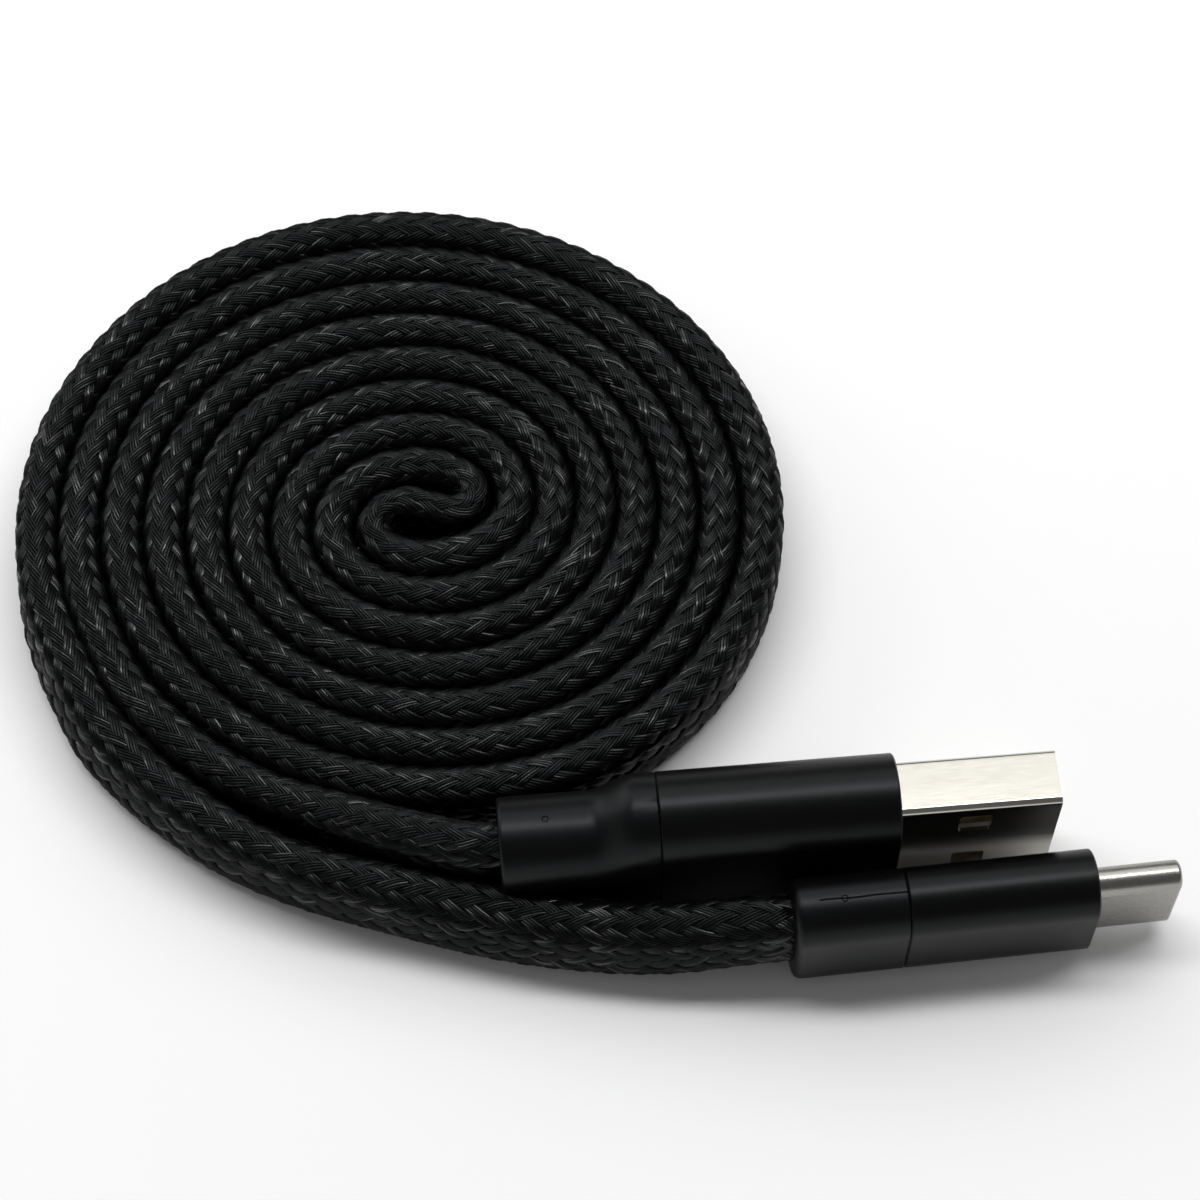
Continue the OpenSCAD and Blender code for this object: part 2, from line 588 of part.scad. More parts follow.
module usb_c_contact_block() color([0.06, 0.06, 0.06]) at_usb_c() difference() {
    stadium(c_shell_spread) bar(block_r, c_block_rear, block_front, 0, seam);
    span([mouth_floor, -mouth_t / 2, -mouth_w / 2], [block_front + cut, mouth_t / 2, mouth_w / 2]);
    // seat of the latch plate, with the two moulded posts that hold it
    rotate([90, 0, 0]) linear_extrude(plate_t + 2 * fit, center = true) difference() {
        translate([c_block_rear - cut, -latch_z - cut])
            square([mouth_floor + cut - c_block_rear, 2 * (latch_z + cut)]);
        for (m = [-1, 1]) translate([post_x, m * post_z]) circle(d = post_d);
    }
    // side channels of the latches
    for (m = [0, 1]) mirror([0, 0, m])
        span([mouth_floor - eps, -plate_t / 2 - fit, mouth_w / 2 - eps],
             [block_front + cut, plate_t / 2 + fit, latch_z + cut]);
    for (i = upper_row) contact_slot(row_z(i), 1);
    for (i = lower_row) contact_slot(row_z(i), -1);
    for (s = [-1, 1]) mirror([0, s > 0 ? 0 : 1])
        span([block_front - spring_l - fit, mouth_t / 2 - eps, -mouth_w / 2 + spring_in - fit],
             [block_front + cut, mouth_t / 2 + spring_t + fit, mouth_w / 2 - spring_in + fit]);
}

// Groove and passage for one contact of the row on side s.
module contact_slot(z, s) mirror([0, s > 0 ? 0 : 1])
    span([c_block_rear - cut, contact_y - fit, z - c_contact_w / 2 - fit],
         [c_contact_tip + fit, contact_y + c_contact_t + fit, z + c_contact_w / 2 + fit]);

// One spring contact: a strip from the board to a bowed tip in the mouth.
module usb_c_contact(z, s) mirror([0, s > 0 ? 0 : 1]) translate([0, 0, z])
    linear_extrude(c_contact_w, center = true) {
        y0 = contact_y;
        y1 = contact_y + c_contact_t;
        rear = c_block_rear - solder_l;
        bow0 = c_contact_tip - bow_back - bow_top / 2;
        polygon([[rear, y0], [bow0 - bow_l, y0], [bow0, y0 - bow_h], [bow0 + bow_top, y0 - bow_h],
                 [c_contact_tip, y0 + tip_lift], [c_contact_tip, y1], [rear, y1]]);
    }

module usb_c_upper_contacts() color([0.86, 0.7, 0.32]) at_usb_c()
    for (i = upper_row) usb_c_contact(row_z(i), 1);
module usb_c_lower_contacts() color([0.86, 0.7, 0.32]) at_usb_c()
    for (i = lower_row) usb_c_contact(row_z(i), -1);

// Half outline of the latch plate: base, then the arm with its hook.
latch_side = [[mouth_floor - fit, 0], [mouth_floor - fit, latch_z - latch_root_h],
              [mouth_floor + latch_root, latch_z], [hook_top - hook_l - hook_slope, latch_z],
              [hook_top - hook_l, latch_z - hook_h], [hook_top, latch_z - hook_h],
              [latch_tip, latch_z], [latch_tip, latch_z + latch_w],
              [plate_rear, latch_z + latch_w]];

module usb_c_latch_plate() color([0.72, 0.72, 0.7]) at_usb_c()
    rotate([90, 0, 0]) linear_extrude(plate_t, center = true) difference() {
        polygon(concat(latch_side, [for (i = [len(latch_side) - 1 : -1 : 1])
                                    [latch_side[i].x, -latch_side[i].y]]));
        for (m = [-1, 1]) translate([post_x, m * post_z]) circle(d = post_d + 2 * fit);
    }

module usb_c_ground_springs() color([0.78, 0.78, 0.76]) at_usb_c()
    for (s = [-1, 1]) mirror([0, s > 0 ? 0 : 1]) {
        span([block_front - spring_l, mouth_t / 2, -mouth_w / 2 + spring_in],
             [block_front - spring_back, mouth_t / 2 + spring_t, mouth_w / 2 - spring_in]);
        for (i = [-1 : 1]) translate([block_front - spring_l / 2, mouth_t / 2 - dimple_h, i * dimple_step])
            span([-dimple_l / 2, 0, -dimple_w / 2], [dimple_l / 2, dimple_h + eps, dimple_w / 2]);
    }

module usb_c_board() color([0.05, 0.3, 0.12]) at_usb_c()
    span([board_rear, -board_t / 2, -board_w / 2], [board_front, board_t / 2, board_w / 2]);

module usb_c_resistor() color([0.05, 0.05, 0.05]) at_usb_c()
    translate([board_front - solder_l - resistor_back, -board_t / 2 - solder_t, 0])
        span([-resistor_w, -resistor_h, -resistor_l / 2], [0, 0, resistor_l / 2]);

module usb_c_wires() color([0.75, 0.1, 0.1]) at_usb_c()
    for (z = c_wire_z) wire(c_wire_y, z, c_mould_rear, board_rear + c_wire_on);

module usb_c_inner_mould() color([0.09, 0.09, 0.09]) at_usb_c() difference() {
    stadium(c_spread) bar(c_bore_r - fit, c_mould_rear, -mould_back, mould_bevel, 0);
    stadium(c_shell_spread) bar(c_shell_r + fit, -c_shell_in - fit, cut);
    span([board_rear - fit, -board_t / 2 - board_room, -board_w / 2 - fit],
         [cut - c_shell_in, c_wire_y + wire_d / 2 + fit, board_w / 2 + fit]);
    for (z = c_wire_z) wire_way(c_wire_y, z, c_mould_rear - cut, board_rear + cut);
}

module usb_c_sleeve() color([0.1, 0.1, 0.105]) at_usb_c()
    sleeve(c_body_w, c_body_t, c_sleeve_l, c_sleeve_wall);

module usb_c_boot() color([0.11, 0.11, 0.11]) at_usb_c() {
    r = c_body_t / 2;
    stadium(c_spread) polygon(concat(
        [[0, c_rear]], rim(r, c_rear, c_boot_rim),
        [[r, -c_sleeve_l - seam], [r - seam, -c_sleeve_l], [c_bore_r - fit, -c_sleeve_l],
         [c_bore_r - fit, -c_sleeve_l + spigot_l], [0, -c_sleeve_l + spigot_l]]));
}

cable_coil();
cable_tail_usb_a();
cable_tail_usb_c();
usb_a_shell();
usb_a_tongue();
usb_a_power_contacts();
usb_a_data_contacts();
usb_a_wires();
usb_a_inner_mould();
usb_a_sleeve();
usb_a_boot();
usb_c_shell();
usb_c_contact_block();
usb_c_upper_contacts();
usb_c_lower_contacts();
usb_c_latch_plate();
usb_c_ground_springs();
usb_c_board();
usb_c_resistor();
usb_c_wires();
usb_c_inner_mould();
usb_c_sleeve();
usb_c_boot();
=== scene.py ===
"""Looks of the braided charging cable: braid, plugs, boots, floor and light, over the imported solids.

The cable, its braid and the marks on the boots are worked out in millimetres, as in the part's source,
and turned into metres when their meshes are made. Camera, floor and lights are given in metres."""

import math

import bmesh
import bpy
import numpy as np
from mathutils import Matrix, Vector


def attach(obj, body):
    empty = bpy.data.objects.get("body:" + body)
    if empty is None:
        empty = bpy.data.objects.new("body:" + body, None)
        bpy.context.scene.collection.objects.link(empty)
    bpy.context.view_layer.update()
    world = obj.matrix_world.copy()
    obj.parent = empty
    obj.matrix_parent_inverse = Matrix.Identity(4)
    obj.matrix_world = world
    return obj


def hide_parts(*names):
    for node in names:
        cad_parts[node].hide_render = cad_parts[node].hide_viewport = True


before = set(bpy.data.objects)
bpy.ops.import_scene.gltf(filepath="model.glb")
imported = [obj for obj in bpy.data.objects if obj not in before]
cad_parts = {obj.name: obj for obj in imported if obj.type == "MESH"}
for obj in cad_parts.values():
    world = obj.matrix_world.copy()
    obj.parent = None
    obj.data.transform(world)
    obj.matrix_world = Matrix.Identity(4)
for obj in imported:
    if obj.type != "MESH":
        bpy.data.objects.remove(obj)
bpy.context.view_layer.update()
MM = 0.001


# ---- camera ---------------------------------------------------------------------------

CAMERA_AT = (-0.01815, -0.09701, 0.22849)
CAMERA_TARGET = (-0.01815, 0.02705, 0)


def aim(thing, target):
    """Turns a camera or lamp so that it looks at a point."""
    thing.rotation_euler = (Vector(target) - thing.location).to_track_quat("-Z", "Y").to_euler()


def add_camera():
    """A long lens in front of the plugs, which looks down on the coil behind them."""
    lens = bpy.data.cameras.new("camera")
    lens.sensor_width = 36
    lens.lens = 93.9
    lens.clip_start = 0.005
    lens.clip_end = 50
    camera = bpy.data.objects.new("camera", lens)
    camera.location = CAMERA_AT
    aim(camera, CAMERA_TARGET)
    bpy.context.collection.objects.link(camera)
    bpy.context.scene.camera = camera


# ---- route of the cable, in millimetres -------------------------------------------------

CABLE_WIDTH = 7.6               # the cable is flat and stands on edge
GRIP_WIDTH = 6.9                # its width where a boot grips it
CABLE_Z = CABLE_WIDTH / 2       # height of its middle where it stands on the table

COIL_AT = (-32.9, 31.67)        # centre of the coil
COIL_RADIUS = 26.95             # radius of the outermost pass on the right side
STRAND_PITCH = 3.43             # distance from one strand to the next
COIL_OVAL = 0.973               # depth of the coil over its width
COIL_EXTRA = 1.02               # extra half width of every turn
COIL_DRIFT = (-0.09, -0.1)      # how far the centre moves with each turn outwards
COIL_SKEW = 0.58                # how far the outermost pass is pressed out of its oval
COIL_SKEW_FADE = 0.31           # how much of that each turn further in loses
RING_STEP = 15                  # degrees between the points of the coil
COIL_END = 210                  # angle at which both arms leave the coil
C_ARM_IN = -1245                # innermost angle of the arm that ends at USB-C
A_ARM_IN = -1050                # innermost angle of the arm that ends at USB-A

USB_A_AT = (4.45, 3.67)         # centre of the sleeve's front end, in plan
USB_A_YAW = 5.0                 # turn of the plug, in degrees
USB_A_HEIGHT = 7.25             # height of its axis
USB_A_REAR = -30.5              # rear end of its boot, from the sleeve's front end
USB_A_LEAD = 1.5                # straight length of cable behind the boot

# The same for the USB-C plug.
USB_C_AT = (19.5, -2.14)
USB_C_YAW = 6.4
USB_C_HEIGHT = 5.5
USB_C_REAR = -23.2
USB_C_LEAD = 4.2

INTO_BOOT = 1.0                 # how far the cable's line runs on into each boot

# The fold between the two arms, in plan.
COIL_CORE = [
    (-36.4, 31.9), (-35.75, 32.5), (-34.8, 32.85), (-33.55, 32.85), (-32.15, 32.4),
    (-30.8, 31.9), (-29.45, 31.85), (-28.6, 32.45), (-28.3, 33.15),
]
FOLD_AT = COIL_CORE[len(COIL_CORE) // 2]

# The free tails, from the coil to their plugs.
USB_C_TAIL = [
    (-58.0, 12.95, 3.8), (-55.8, 10.4, 3.8), (-53.6, 8.15, 3.8), (-51.25, 6.2, 3.8),
    (-48.15, 3.9, 3.8), (-44.85, 2.05, 3.8), (-41.45, 0.55, 3.8), (-38.15, -0.65, 3.8),
    (-34.85, -1.65, 3.8), (-31.45, -2.65, 3.8), (-28.15, -3.55, 3.8), (-23.95, -4.35, 3.8),
    (-19.85, -4.85, 3.8), (-15.85, -5.25, 4.1), (-12.05, -5.45, 4.8),
]
USB_A_TAIL = [
    (-55.7, 15.95, 3.8), (-53.05, 12.95, 3.8), (-50.25, 10.45, 3.8), (-47.45, 8.55, 3.8),
    (-44.35, 6.85, 3.9), (-41.05, 5.4, 4.4), (-37.75, 4.05, 5.2), (-34.65, 2.85, 6.1),
    (-32.15, 2.05, 6.7), (-29.85, 1.35, 7.1),
]

FINE_STEP = 0.05                # steps in which the route is eased
EASE_REACH = 60                 # how many fine steps the easing reaches to each side
EASE_WIDTH = 18                 # width of its bell, in fine steps


def arm_point(angle, half):
    """A point of one arm of the coil. Both arms wind outwards anticlockwise, half a turn apart."""
    turns = angle / 360 - half / 2
    radius = COIL_RADIUS + 2 * STRAND_PITCH * turns
    skew = -(COIL_SKEW + COIL_SKEW_FADE * turns) * math.sin(math.radians(2 * angle))
    across = (radius + COIL_EXTRA + skew) * math.cos(math.radians(angle))
    along = (radius * COIL_OVAL + skew) * math.sin(math.radians(angle))
    middle_x = COIL_AT[0] + COIL_DRIFT[0] * turns
    middle_y = COIL_AT[1] + COIL_DRIFT[1] * turns
    return (middle_x + across, middle_y + along, CABLE_Z)


def plug_point(at, yaw, height, forward, side=0.0):
    """A point on a plug, so far in front of its sleeve's front end and to the left of its axis."""
    turn = math.radians(yaw)
    x = at[0] + forward * math.cos(turn) - side * math.sin(turn)
    y = at[1] + forward * math.sin(turn) + side * math.cos(turn)
    return (x, y, height)


def cable_route():
    """The cable's own points, from the USB-C boot through the coil to the USB-A boot."""
    c_leads = [plug_point(USB_C_AT, USB_C_YAW, USB_C_HEIGHT, USB_C_REAR + step)
               for step in (INTO_BOOT, -USB_C_LEAD / 2, -USB_C_LEAD)]
    a_leads = [plug_point(USB_A_AT, USB_A_YAW, USB_A_HEIGHT, USB_A_REAR + step)
               for step in (-USB_A_LEAD, -USB_A_LEAD / 2, INTO_BOOT)]
    inwards = [arm_point(angle, 0) for angle in range(COIL_END, C_ARM_IN - 1, -RING_STEP)]
    core = [(x, y, CABLE_Z) for x, y in COIL_CORE]
    outwards = [arm_point(angle, 1) for angle in range(A_ARM_IN, COIL_END + 1, RING_STEP)]
    return c_leads + USB_C_TAIL[::-1] + inwards + core + outwards + USB_A_TAIL + a_leads


def lengths_along(points):
    """How far along the line each of its points lies."""
    steps = np.linalg.norm(np.diff(points, axis=0), axis=1)
    return np.concatenate([[0.0], np.cumsum(steps)])


def even_steps(points, step):
    """The same line with its points about a step apart, and their distances along it."""
    along = lengths_along(points)
    even = np.linspace(0, along[-1], int(round(along[-1] / step)) + 1)
    return np.stack([np.interp(even, along, points[:, axis]) for axis in range(3)], axis=1), even


def smooth_line(points, step):
    """A smooth curve through the route's points, eased where it bends most, in even steps."""
    points = np.array(points, float)
    along = lengths_along(points)
    step_in = np.diff(along)[:-1, None]
    step_out = np.diff(along)[1:, None]
    slope_in = np.diff(points, axis=0)[:-1] / step_in
    slope_out = np.diff(points, axis=0)[1:] / step_out
    slopes = np.empty_like(points)
    slopes[1:-1] = (slope_in * step_out + slope_out * step_in) / (step_in + step_out)
    slopes[0] = slope_in[0]
    slopes[-1] = slope_out[-1]
    where = np.linspace(0, along[-1], int(along[-1] / FINE_STEP))
    left = np.clip(np.searchsorted(along, where, side="right") - 1, 0, len(along) - 2)
    span = np.diff(along)[left][:, None]
    t = (where - along[left])[:, None] / span
    line = (
        (2 * t**3 - 3 * t**2 + 1) * points[left]
        + (t**3 - 2 * t**2 + t) * span * slopes[left]
        + (3 * t**2 - 2 * t**3) * points[left + 1]
        + (t**3 - t**2) * span * slopes[left + 1]
    )
    bell = np.exp(-0.5 * (np.arange(-EASE_REACH, EASE_REACH + 1) / EASE_WIDTH) ** 2)
    bell /= bell.sum()
    before = 2 * line[0] - line[EASE_REACH:0:-1]
    after = 2 * line[-1] - line[-2 : -EASE_REACH - 2 : -1]
    padded = np.concatenate([before, line, after])
    eased = np.stack([np.convolve(padded[:, axis], bell, mode="valid") for axis in range(3)], axis=1)
    return even_steps(eased, step)


# ---- section of the cable, in millimetres ------------------------------------------------

def from_table(where, table):
    """The amounts at some places, between the rows of a table of places and amounts."""
    places, amounts = zip(*table)
    return np.interp(where, places, amounts)


def slope_from_table(where, table):
    """How far the section leans at some places, as a slope, from a table of places and degrees."""
    return np.tan(np.radians(from_table(where, table)))[:, None]


class Cable:
    """The cable's line in even steps, with its section's size and directions at each step.

    The outermost turn is the outer end of the USB-C arm. It lies looser than the rest: it stands off
    where nothing holds it, and its foot has slipped outwards where the USB-C tail leaves the coil.
    That tail leans towards the USB-A boot and is fuller on that side, and the fold is pinched."""

    STEP = 0.53                     # distance between the line's points
    FREE_HALF = 1.8                 # half thickness where nothing presses
    PRESSED_HALF = (1.45, 1.98)     # its least and most between neighbouring strands
    C_NARROWING = 9                 # length over which each tail narrows towards its boot
    A_NARROWING = 36

    # How far the outermost turn stands off, and how many degrees it leans, by its angle in degrees.
    STAND_OFF = (
        (-60, 0), (-40, -0.15), (-20, -0.1), (0, 0.15), (20, 0.4), (40, 0.55), (75, 0.6), (100, 0.5),
        (125, 0.3), (150, 0), (170, 0.05), (190, 0.25), (205, 0.4), (225, 0.3), (245, 0.1), (262, 0),
    )
    FOOT_OUT = ((168, 0), (190, 7), (205, 12), (220, 10), (240, 4), (258, 0))
    NOT_OUTERMOST = -999            # stands for the angle past the fold, before both tables start

    # How many degrees the USB-C tail leans and how much fuller it is, by the distance from its boot.
    TAIL_LEAN = ((0, 1), (5, 3), (18, 3), (24, 7), (28, 7), (36, 0))
    TAIL_SWELL = (
        (0, 0.15), (3, 0.35), (8, 0.6), (14, 0.6), (20, 0.6), (27, 0.8), (34, 0.3), (40, 0),
    )

    # Share of its thickness that the cable keeps, by the distance from the fold.
    FOLD_PINCH = ((0, 0.74), (5, 0.78), (11, 1))

    # Which points belong to the strand beside a point, and how that strand presses on it.
    BESIDE = (1.5, 4.6)             # how far off its middle lies
    ABREAST = 0.5                   # how far ahead or behind it may be
    ELSEWHERE = 5                   # how far off along the cable it has to be
    PRESS = 0.05                    # how far the two strands press into each other
    EASE_STEPS = 17                 # steps over which the thickness is evened out

    def __init__(self):
        self.points, self.along = smooth_line(cable_route(), self.STEP)
        self.length = self.along[-1]
        from_middle = self.points[:, :2] - COIL_AT
        self.heading = np.unwrap(np.arctan2(from_middle[:, 1], from_middle[:, 0]))
        self.fold_along = self.along[np.argmin(np.linalg.norm(self.points[:, :2] - FOLD_AT, axis=1))]
        outwards = np.zeros_like(self.points)
        outwards[:, :2] = from_middle / np.linalg.norm(from_middle, axis=1)[:, None]
        self.lay_loosely(outwards)
        self.width = self.section_width()
        self.thickness = self.press_together()

    def lay_loosely(self, outwards):
        """Moves the loose stretches off the route, and sets the section's directions."""
        angle = np.degrees(self.heading) + 360
        angle[self.along > self.fold_along] = self.NOT_OUTERMOST
        self.points += outwards * from_table(angle, self.STAND_OFF)[:, None]
        self.tangent = np.gradient(self.points, self.along, axis=0)
        self.tangent /= np.linalg.norm(self.tangent, axis=1)[:, None]
        lean = slope_from_table(self.along, self.TAIL_LEAN)
        upright = np.array([[0.0, 0.0, 1.0]]) - outwards * slope_from_table(angle, self.FOOT_OUT)
        upright[:, 1:2] += lean
        self.points[:, 1:2] += lean * (CABLE_WIDTH / 2 - self.FREE_HALF)
        self.side = np.cross(self.tangent, upright)
        self.side /= np.linalg.norm(self.side, axis=1)[:, None]
        self.up = np.cross(self.side, self.tangent)

    def section_width(self):
        """Full width, drawn in towards the grip of each boot."""
        c_tail = np.clip(self.along / self.C_NARROWING, 0, 1)
        a_tail = np.clip((self.length - self.along) / self.A_NARROWING, 0, 1)
        return GRIP_WIDTH + (CABLE_WIDTH - GRIP_WIDTH) * np.minimum(c_tail, a_tail)

    def press_together(self):
        """Full thickness at each step. The line moves to the middle of the section."""
        pinch = from_table(np.abs(self.along - self.fold_along), self.FOLD_PINCH)
        right = self.half_thickness(1) * pinch + from_table(self.along, self.TAIL_SWELL)
        left = self.half_thickness(-1) * pinch
        self.points += self.side * ((right - left) / 2)[:, None]
        return right + left

    def half_thickness(self, hand):
        """Thickness on one side: half the way to the strand beside it, or the free thickness."""
        half = np.full(len(self.points), self.FREE_HALF)
        nearest, farthest = self.BESIDE
        for index, point in enumerate(self.points):
            away = self.points - point
            beside = away @ self.side[index] * hand
            ahead = np.abs(away @ self.tangent[index])
            strand = (beside > nearest) & (beside < farthest) & (ahead < self.ABREAST)
            strand &= np.abs(self.along - self.along[index]) > self.ELSEWHERE
            if strand.any():
                half[index] = beside[strand].min() / 2 + self.PRESS
        half = np.clip(half, *self.PRESSED_HALF)
        window = np.hanning(self.EASE_STEPS)
        padded = np.pad(half, self.EASE_STEPS // 2, mode="edge")
        return np.convolve(padded, window / window.sum(), mode="valid")


def section_point(share, width, thickness):
    """Height of the base line, and direction outwards as side and up, at a share of the way round.

    The section has flat faces and half-round edges. The way round it starts in the middle of the top
    edge and goes down the right face first. The base line joins the centres of the two edges."""
    radius = thickness / 2
    face = width - thickness
    quarter = math.pi * radius / 2
    way = (share % 1) * (2 * face + 4 * quarter)
    on_right = np.clip(way - quarter, 0, face)
    on_left = np.clip(way - 3 * quarter - face, 0, face)
    turned = (way - on_right - on_left) / radius
    outward = np.stack([np.sin(turned), np.cos(turned)], axis=-1)
    base_up = face / 2 - on_right + on_left
    return base_up, outward


def ring_faces(rings, ring, first=0):
    """Quads between rings of so many points each, numbered from the first point on."""
    start = first + np.arange(rings - 1)[:, None] * ring
    here = start + np.arange(ring)
    following = start + (np.arange(ring) + 1) % ring
    return np.stack([here, following, following + ring, here + ring], axis=-1).reshape(-1, 4)


def mesh_piece(name, vertices, faces, weave=None, in_groove=None):
    """A smooth mesh of rings, given in millimetres. A braid also has a weave map and creased grooves."""
    mesh = bpy.data.meshes.new(name)
    mesh.vertices.add(len(vertices))
    mesh.vertices.foreach_set("co", (vertices * MM).astype(np.float32).ravel())
    mesh.loops.add(faces.size)
    mesh.loops.foreach_set("vertex_index", faces.astype(np.int32).ravel())
    mesh.polygons.add(len(faces))
    mesh.polygons.foreach_set("loop_start", np.arange(0, faces.size, 4, dtype=np.int32))
    mesh.polygons.foreach_set("use_smooth", np.ones(len(faces), bool))
    mesh.update(calc_edges=True)
    if weave is not None:
        layer = mesh.uv_layers.new(name="weave")
        layer.data.foreach_set("uv", weave.astype(np.float32).ravel())
    if in_groove is not None:
        ends = np.empty(len(mesh.edges) * 2, np.int32)
        mesh.edges.foreach_get("vertices", ends)
        column = ends.reshape(-1, 2) % len(in_groove)
        crease = (column[:, 0] == column[:, 1]) & in_groove[column[:, 0]]
        mesh.attributes.new("sharp_edge", "BOOLEAN", "EDGE").data.foreach_set("value", crease)
    mesh.validate()
    piece = bpy.data.objects.new(name, mesh)
    bpy.context.collection.objects.link(piece)
    return piece


# ---- braid and jacket, in millimetres ----------------------------------------------------

class Braid:
    """A regular braid of flat yarns: each passes over two yarns of the other lay and under two.

    The way round the cable is counted in columns, two for each yarn of a lay."""

    WALES = 16                      # yarns of each lay
    PITCH = 2.15                    # length in which a yarn moves round by one yarn
    YARN_WIDTH = 0.93
    FILAMENTS = 4                   # ridges across a yarn
    RISE = 0.2                      # how far a yarn rises over the others and dips under them
    GROOVE = 0.115                  # depth between two filaments
    CROWN = 0.07                    # how far a yarn's edges lie below its middle
    EDGE = 0.1                      # how much further its outermost points are turned down
    WEAVE_LENGTH = 10               # length of cable for one unit of the weave map

    FOLD_CREEP = 2                  # columns by which the pattern has moved round past the fold
    FOLD_CREEP_OVER = 12            # how gently it does so, as a length
    TURN_WANDER = (0.35, 0.71, 0.4)     # wander with the heading: columns, waves and phase
    LENGTH_WANDER = (0.25, 47, 1.1)     # wander with the length: columns, length and phase

    def __init__(self, cable):
        self.cable = cable
        self.columns = 2 * self.WALES

    def drift(self):
        """How far the pattern has crept round the cable, in columns, at each step."""
        cable = self.cable
        past_fold = 1 / (1 + np.exp(-(cable.along - cable.fold_along) / self.FOLD_CREEP_OVER))
        turn_size, waves, turn_phase = self.TURN_WANDER
        length_size, length, length_phase = self.LENGTH_WANDER
        by_turn = turn_size * np.sin(cable.heading * waves + turn_phase)
        by_length = length_size * np.sin(cable.along / length + length_phase)
        return self.FOLD_CREEP * past_fold + by_turn + by_length

    def yarn(self, number, lay):
        """Centre line, outward direction and own direction of one yarn. The lay is 1 or -1."""
        cable = self.cable
        column = 2 * number + (0 if lay > 0 else 1) + lay * cable.along * 2 / self.PITCH
        rise = lay * self.RISE * np.cos(math.pi * (column - 1) / 2)
        share = (column + self.drift()) / self.columns
        base_up, outward = section_point(share, cable.width, cable.thickness)
        lift = cable.thickness / 2 - self.RISE + rise
        across = outward[:, 0] * lift
        upward = base_up + outward[:, 1] * lift
        line = cable.points + cable.side * across[:, None] + cable.up * upward[:, None]
        out = cable.side * outward[:, :1] + cable.up * outward[:, 1:]
        own = np.gradient(line, cable.along, axis=0)
        own /= np.linalg.norm(own, axis=1)[:, None]
        return line, out, own

    def yarn_section(self):
        """Across and up positions of a yarn's filament ridges, and which points lie in grooves."""
        count = 2 * self.FILAMENTS + 1
        across = np.linspace(-0.5, 0.5, count)
        in_groove = np.arange(count) % 2 == 0
        height = -self.GROOVE * in_groove - self.CROWN * (2 * across) ** 2
        height[[0, -1]] -= self.EDGE
        return across * self.YARN_WIDTH, height, in_groove

    def ridges(self, number, lay):
        """The points of one yarn, a ring of them at each step."""
        across, height, _ = self.yarn_section()
        line, out, own = self.yarn(number, lay)
        beside = np.cross(out, own)
        beside /= np.linalg.norm(beside, axis=1)[:, None]
        proud = np.cross(own, beside)
        points = line[:, None] + beside[:, None] * across[:, None] + proud[:, None] * height[:, None]
        return points.reshape(-1, 3)

    def weave(self, number, ring):
        """Corners of one yarn's faces in the weave map: u runs across the yarn and v along it."""
        u = np.linspace(0, 1, ring) + 2 * number
        u_next = np.roll(u, -1)
        v = self.cable.along / self.WEAVE_LENGTH
        corner_u = np.stack([u, u_next, u_next, u], axis=-1)
        corner_v = np.stack([v[:-1], v[:-1], v[1:], v[1:]], axis=-1)
        corners = np.empty((len(v) - 1, ring, 4, 2))
        corners[..., 0] = corner_u[None]
        corners[..., 1] = corner_v[:, None]
        return corners.reshape(-1, 2)

    def piece(self, name, numbers, lay):
        """One mesh of several yarns of the same lay."""
        in_groove = self.yarn_section()[2]
        ring = len(in_groove)
        steps = len(self.cable.along)
        vertices = [self.ridges(number, lay) for number in numbers]
        faces = [ring_faces(steps, ring, place * steps * ring) for place in range(len(numbers))]
        weave = [self.weave(number, ring) for number in numbers]
        return mesh_piece(
            name, np.concatenate(vertices), np.concatenate(faces), np.concatenate(weave), in_groove)


JACKET_RING = 24                # points round the jacket
JACKET_DEPTH = 0.62             # how far it lies below the braid's surface
JACKET_SKIP = 2                 # steps of the cable for one of the jacket


def jacket_piece(cable):
    """The cable's inner jacket, which shows as darkness between the yarns."""
    shares = np.arange(JACKET_RING) / JACKET_RING
    picks = np.arange(0, len(cable.along), JACKET_SKIP)
    vertices = []
    for pick in picks:
        base_up, outward = section_point(shares, cable.width[pick], cable.thickness[pick])
        lift = cable.thickness[pick] / 2 - JACKET_DEPTH
        across = outward[:, :1] * lift
        upward = base_up[:, None] + outward[:, 1:] * lift
        vertices.append(cable.points[pick] + cable.side[pick] * across + cable.up[pick] * upward)
    return mesh_piece("cable_jacket", np.concatenate(vertices), ring_faces(len(picks), JACKET_RING))


# ---- nodes and groups of the materials ----------------------------------------------------

def new_material(name):
    """An empty material: itself, its nodes, its links and its shader."""
    material = bpy.data.materials.new(name)
    material.use_nodes = True
    nodes = material.node_tree.nodes
    return material, nodes, material.node_tree.links, nodes["Principled BSDF"]


def math_node(nodes, links, operation, first, second):
    """One Math node fed by sockets or plain numbers; returns its output."""
    node = nodes.new("ShaderNodeMath")
    node.operation = operation
    for socket, value in zip(node.inputs, (first, second)):
        if isinstance(value, float):
            socket.default_value = value
        else:
            links.new(value, socket)
    return node.outputs["Value"]


def stretched_noise(nodes, links, vector, scale, detail):
    """A noise drawn out by a different scale along each axis."""
    drawn = nodes.new("ShaderNodeMapping")
    drawn.inputs["Scale"].default_value = scale
    links.new(vector, drawn.inputs["Vector"])
    noise = nodes.new("ShaderNodeTexNoise")
    noise.inputs["Scale"].default_value = 1
    noise.inputs["Detail"].default_value = detail
    links.new(drawn.outputs["Vector"], noise.inputs["Vector"])
    return noise.outputs["Fac"]


def carried(nodes, links, value, from_range, to_range):
    """The value carried from one range to another, clamped at both ends."""
    node = nodes.new("ShaderNodeMapRange")
    for socket, amount in zip(("From Min", "From Max", "To Min", "To Max"), from_range + to_range):
        node.inputs[socket].default_value = amount
    links.new(value, node.inputs["Value"])
    return node.outputs["Result"]


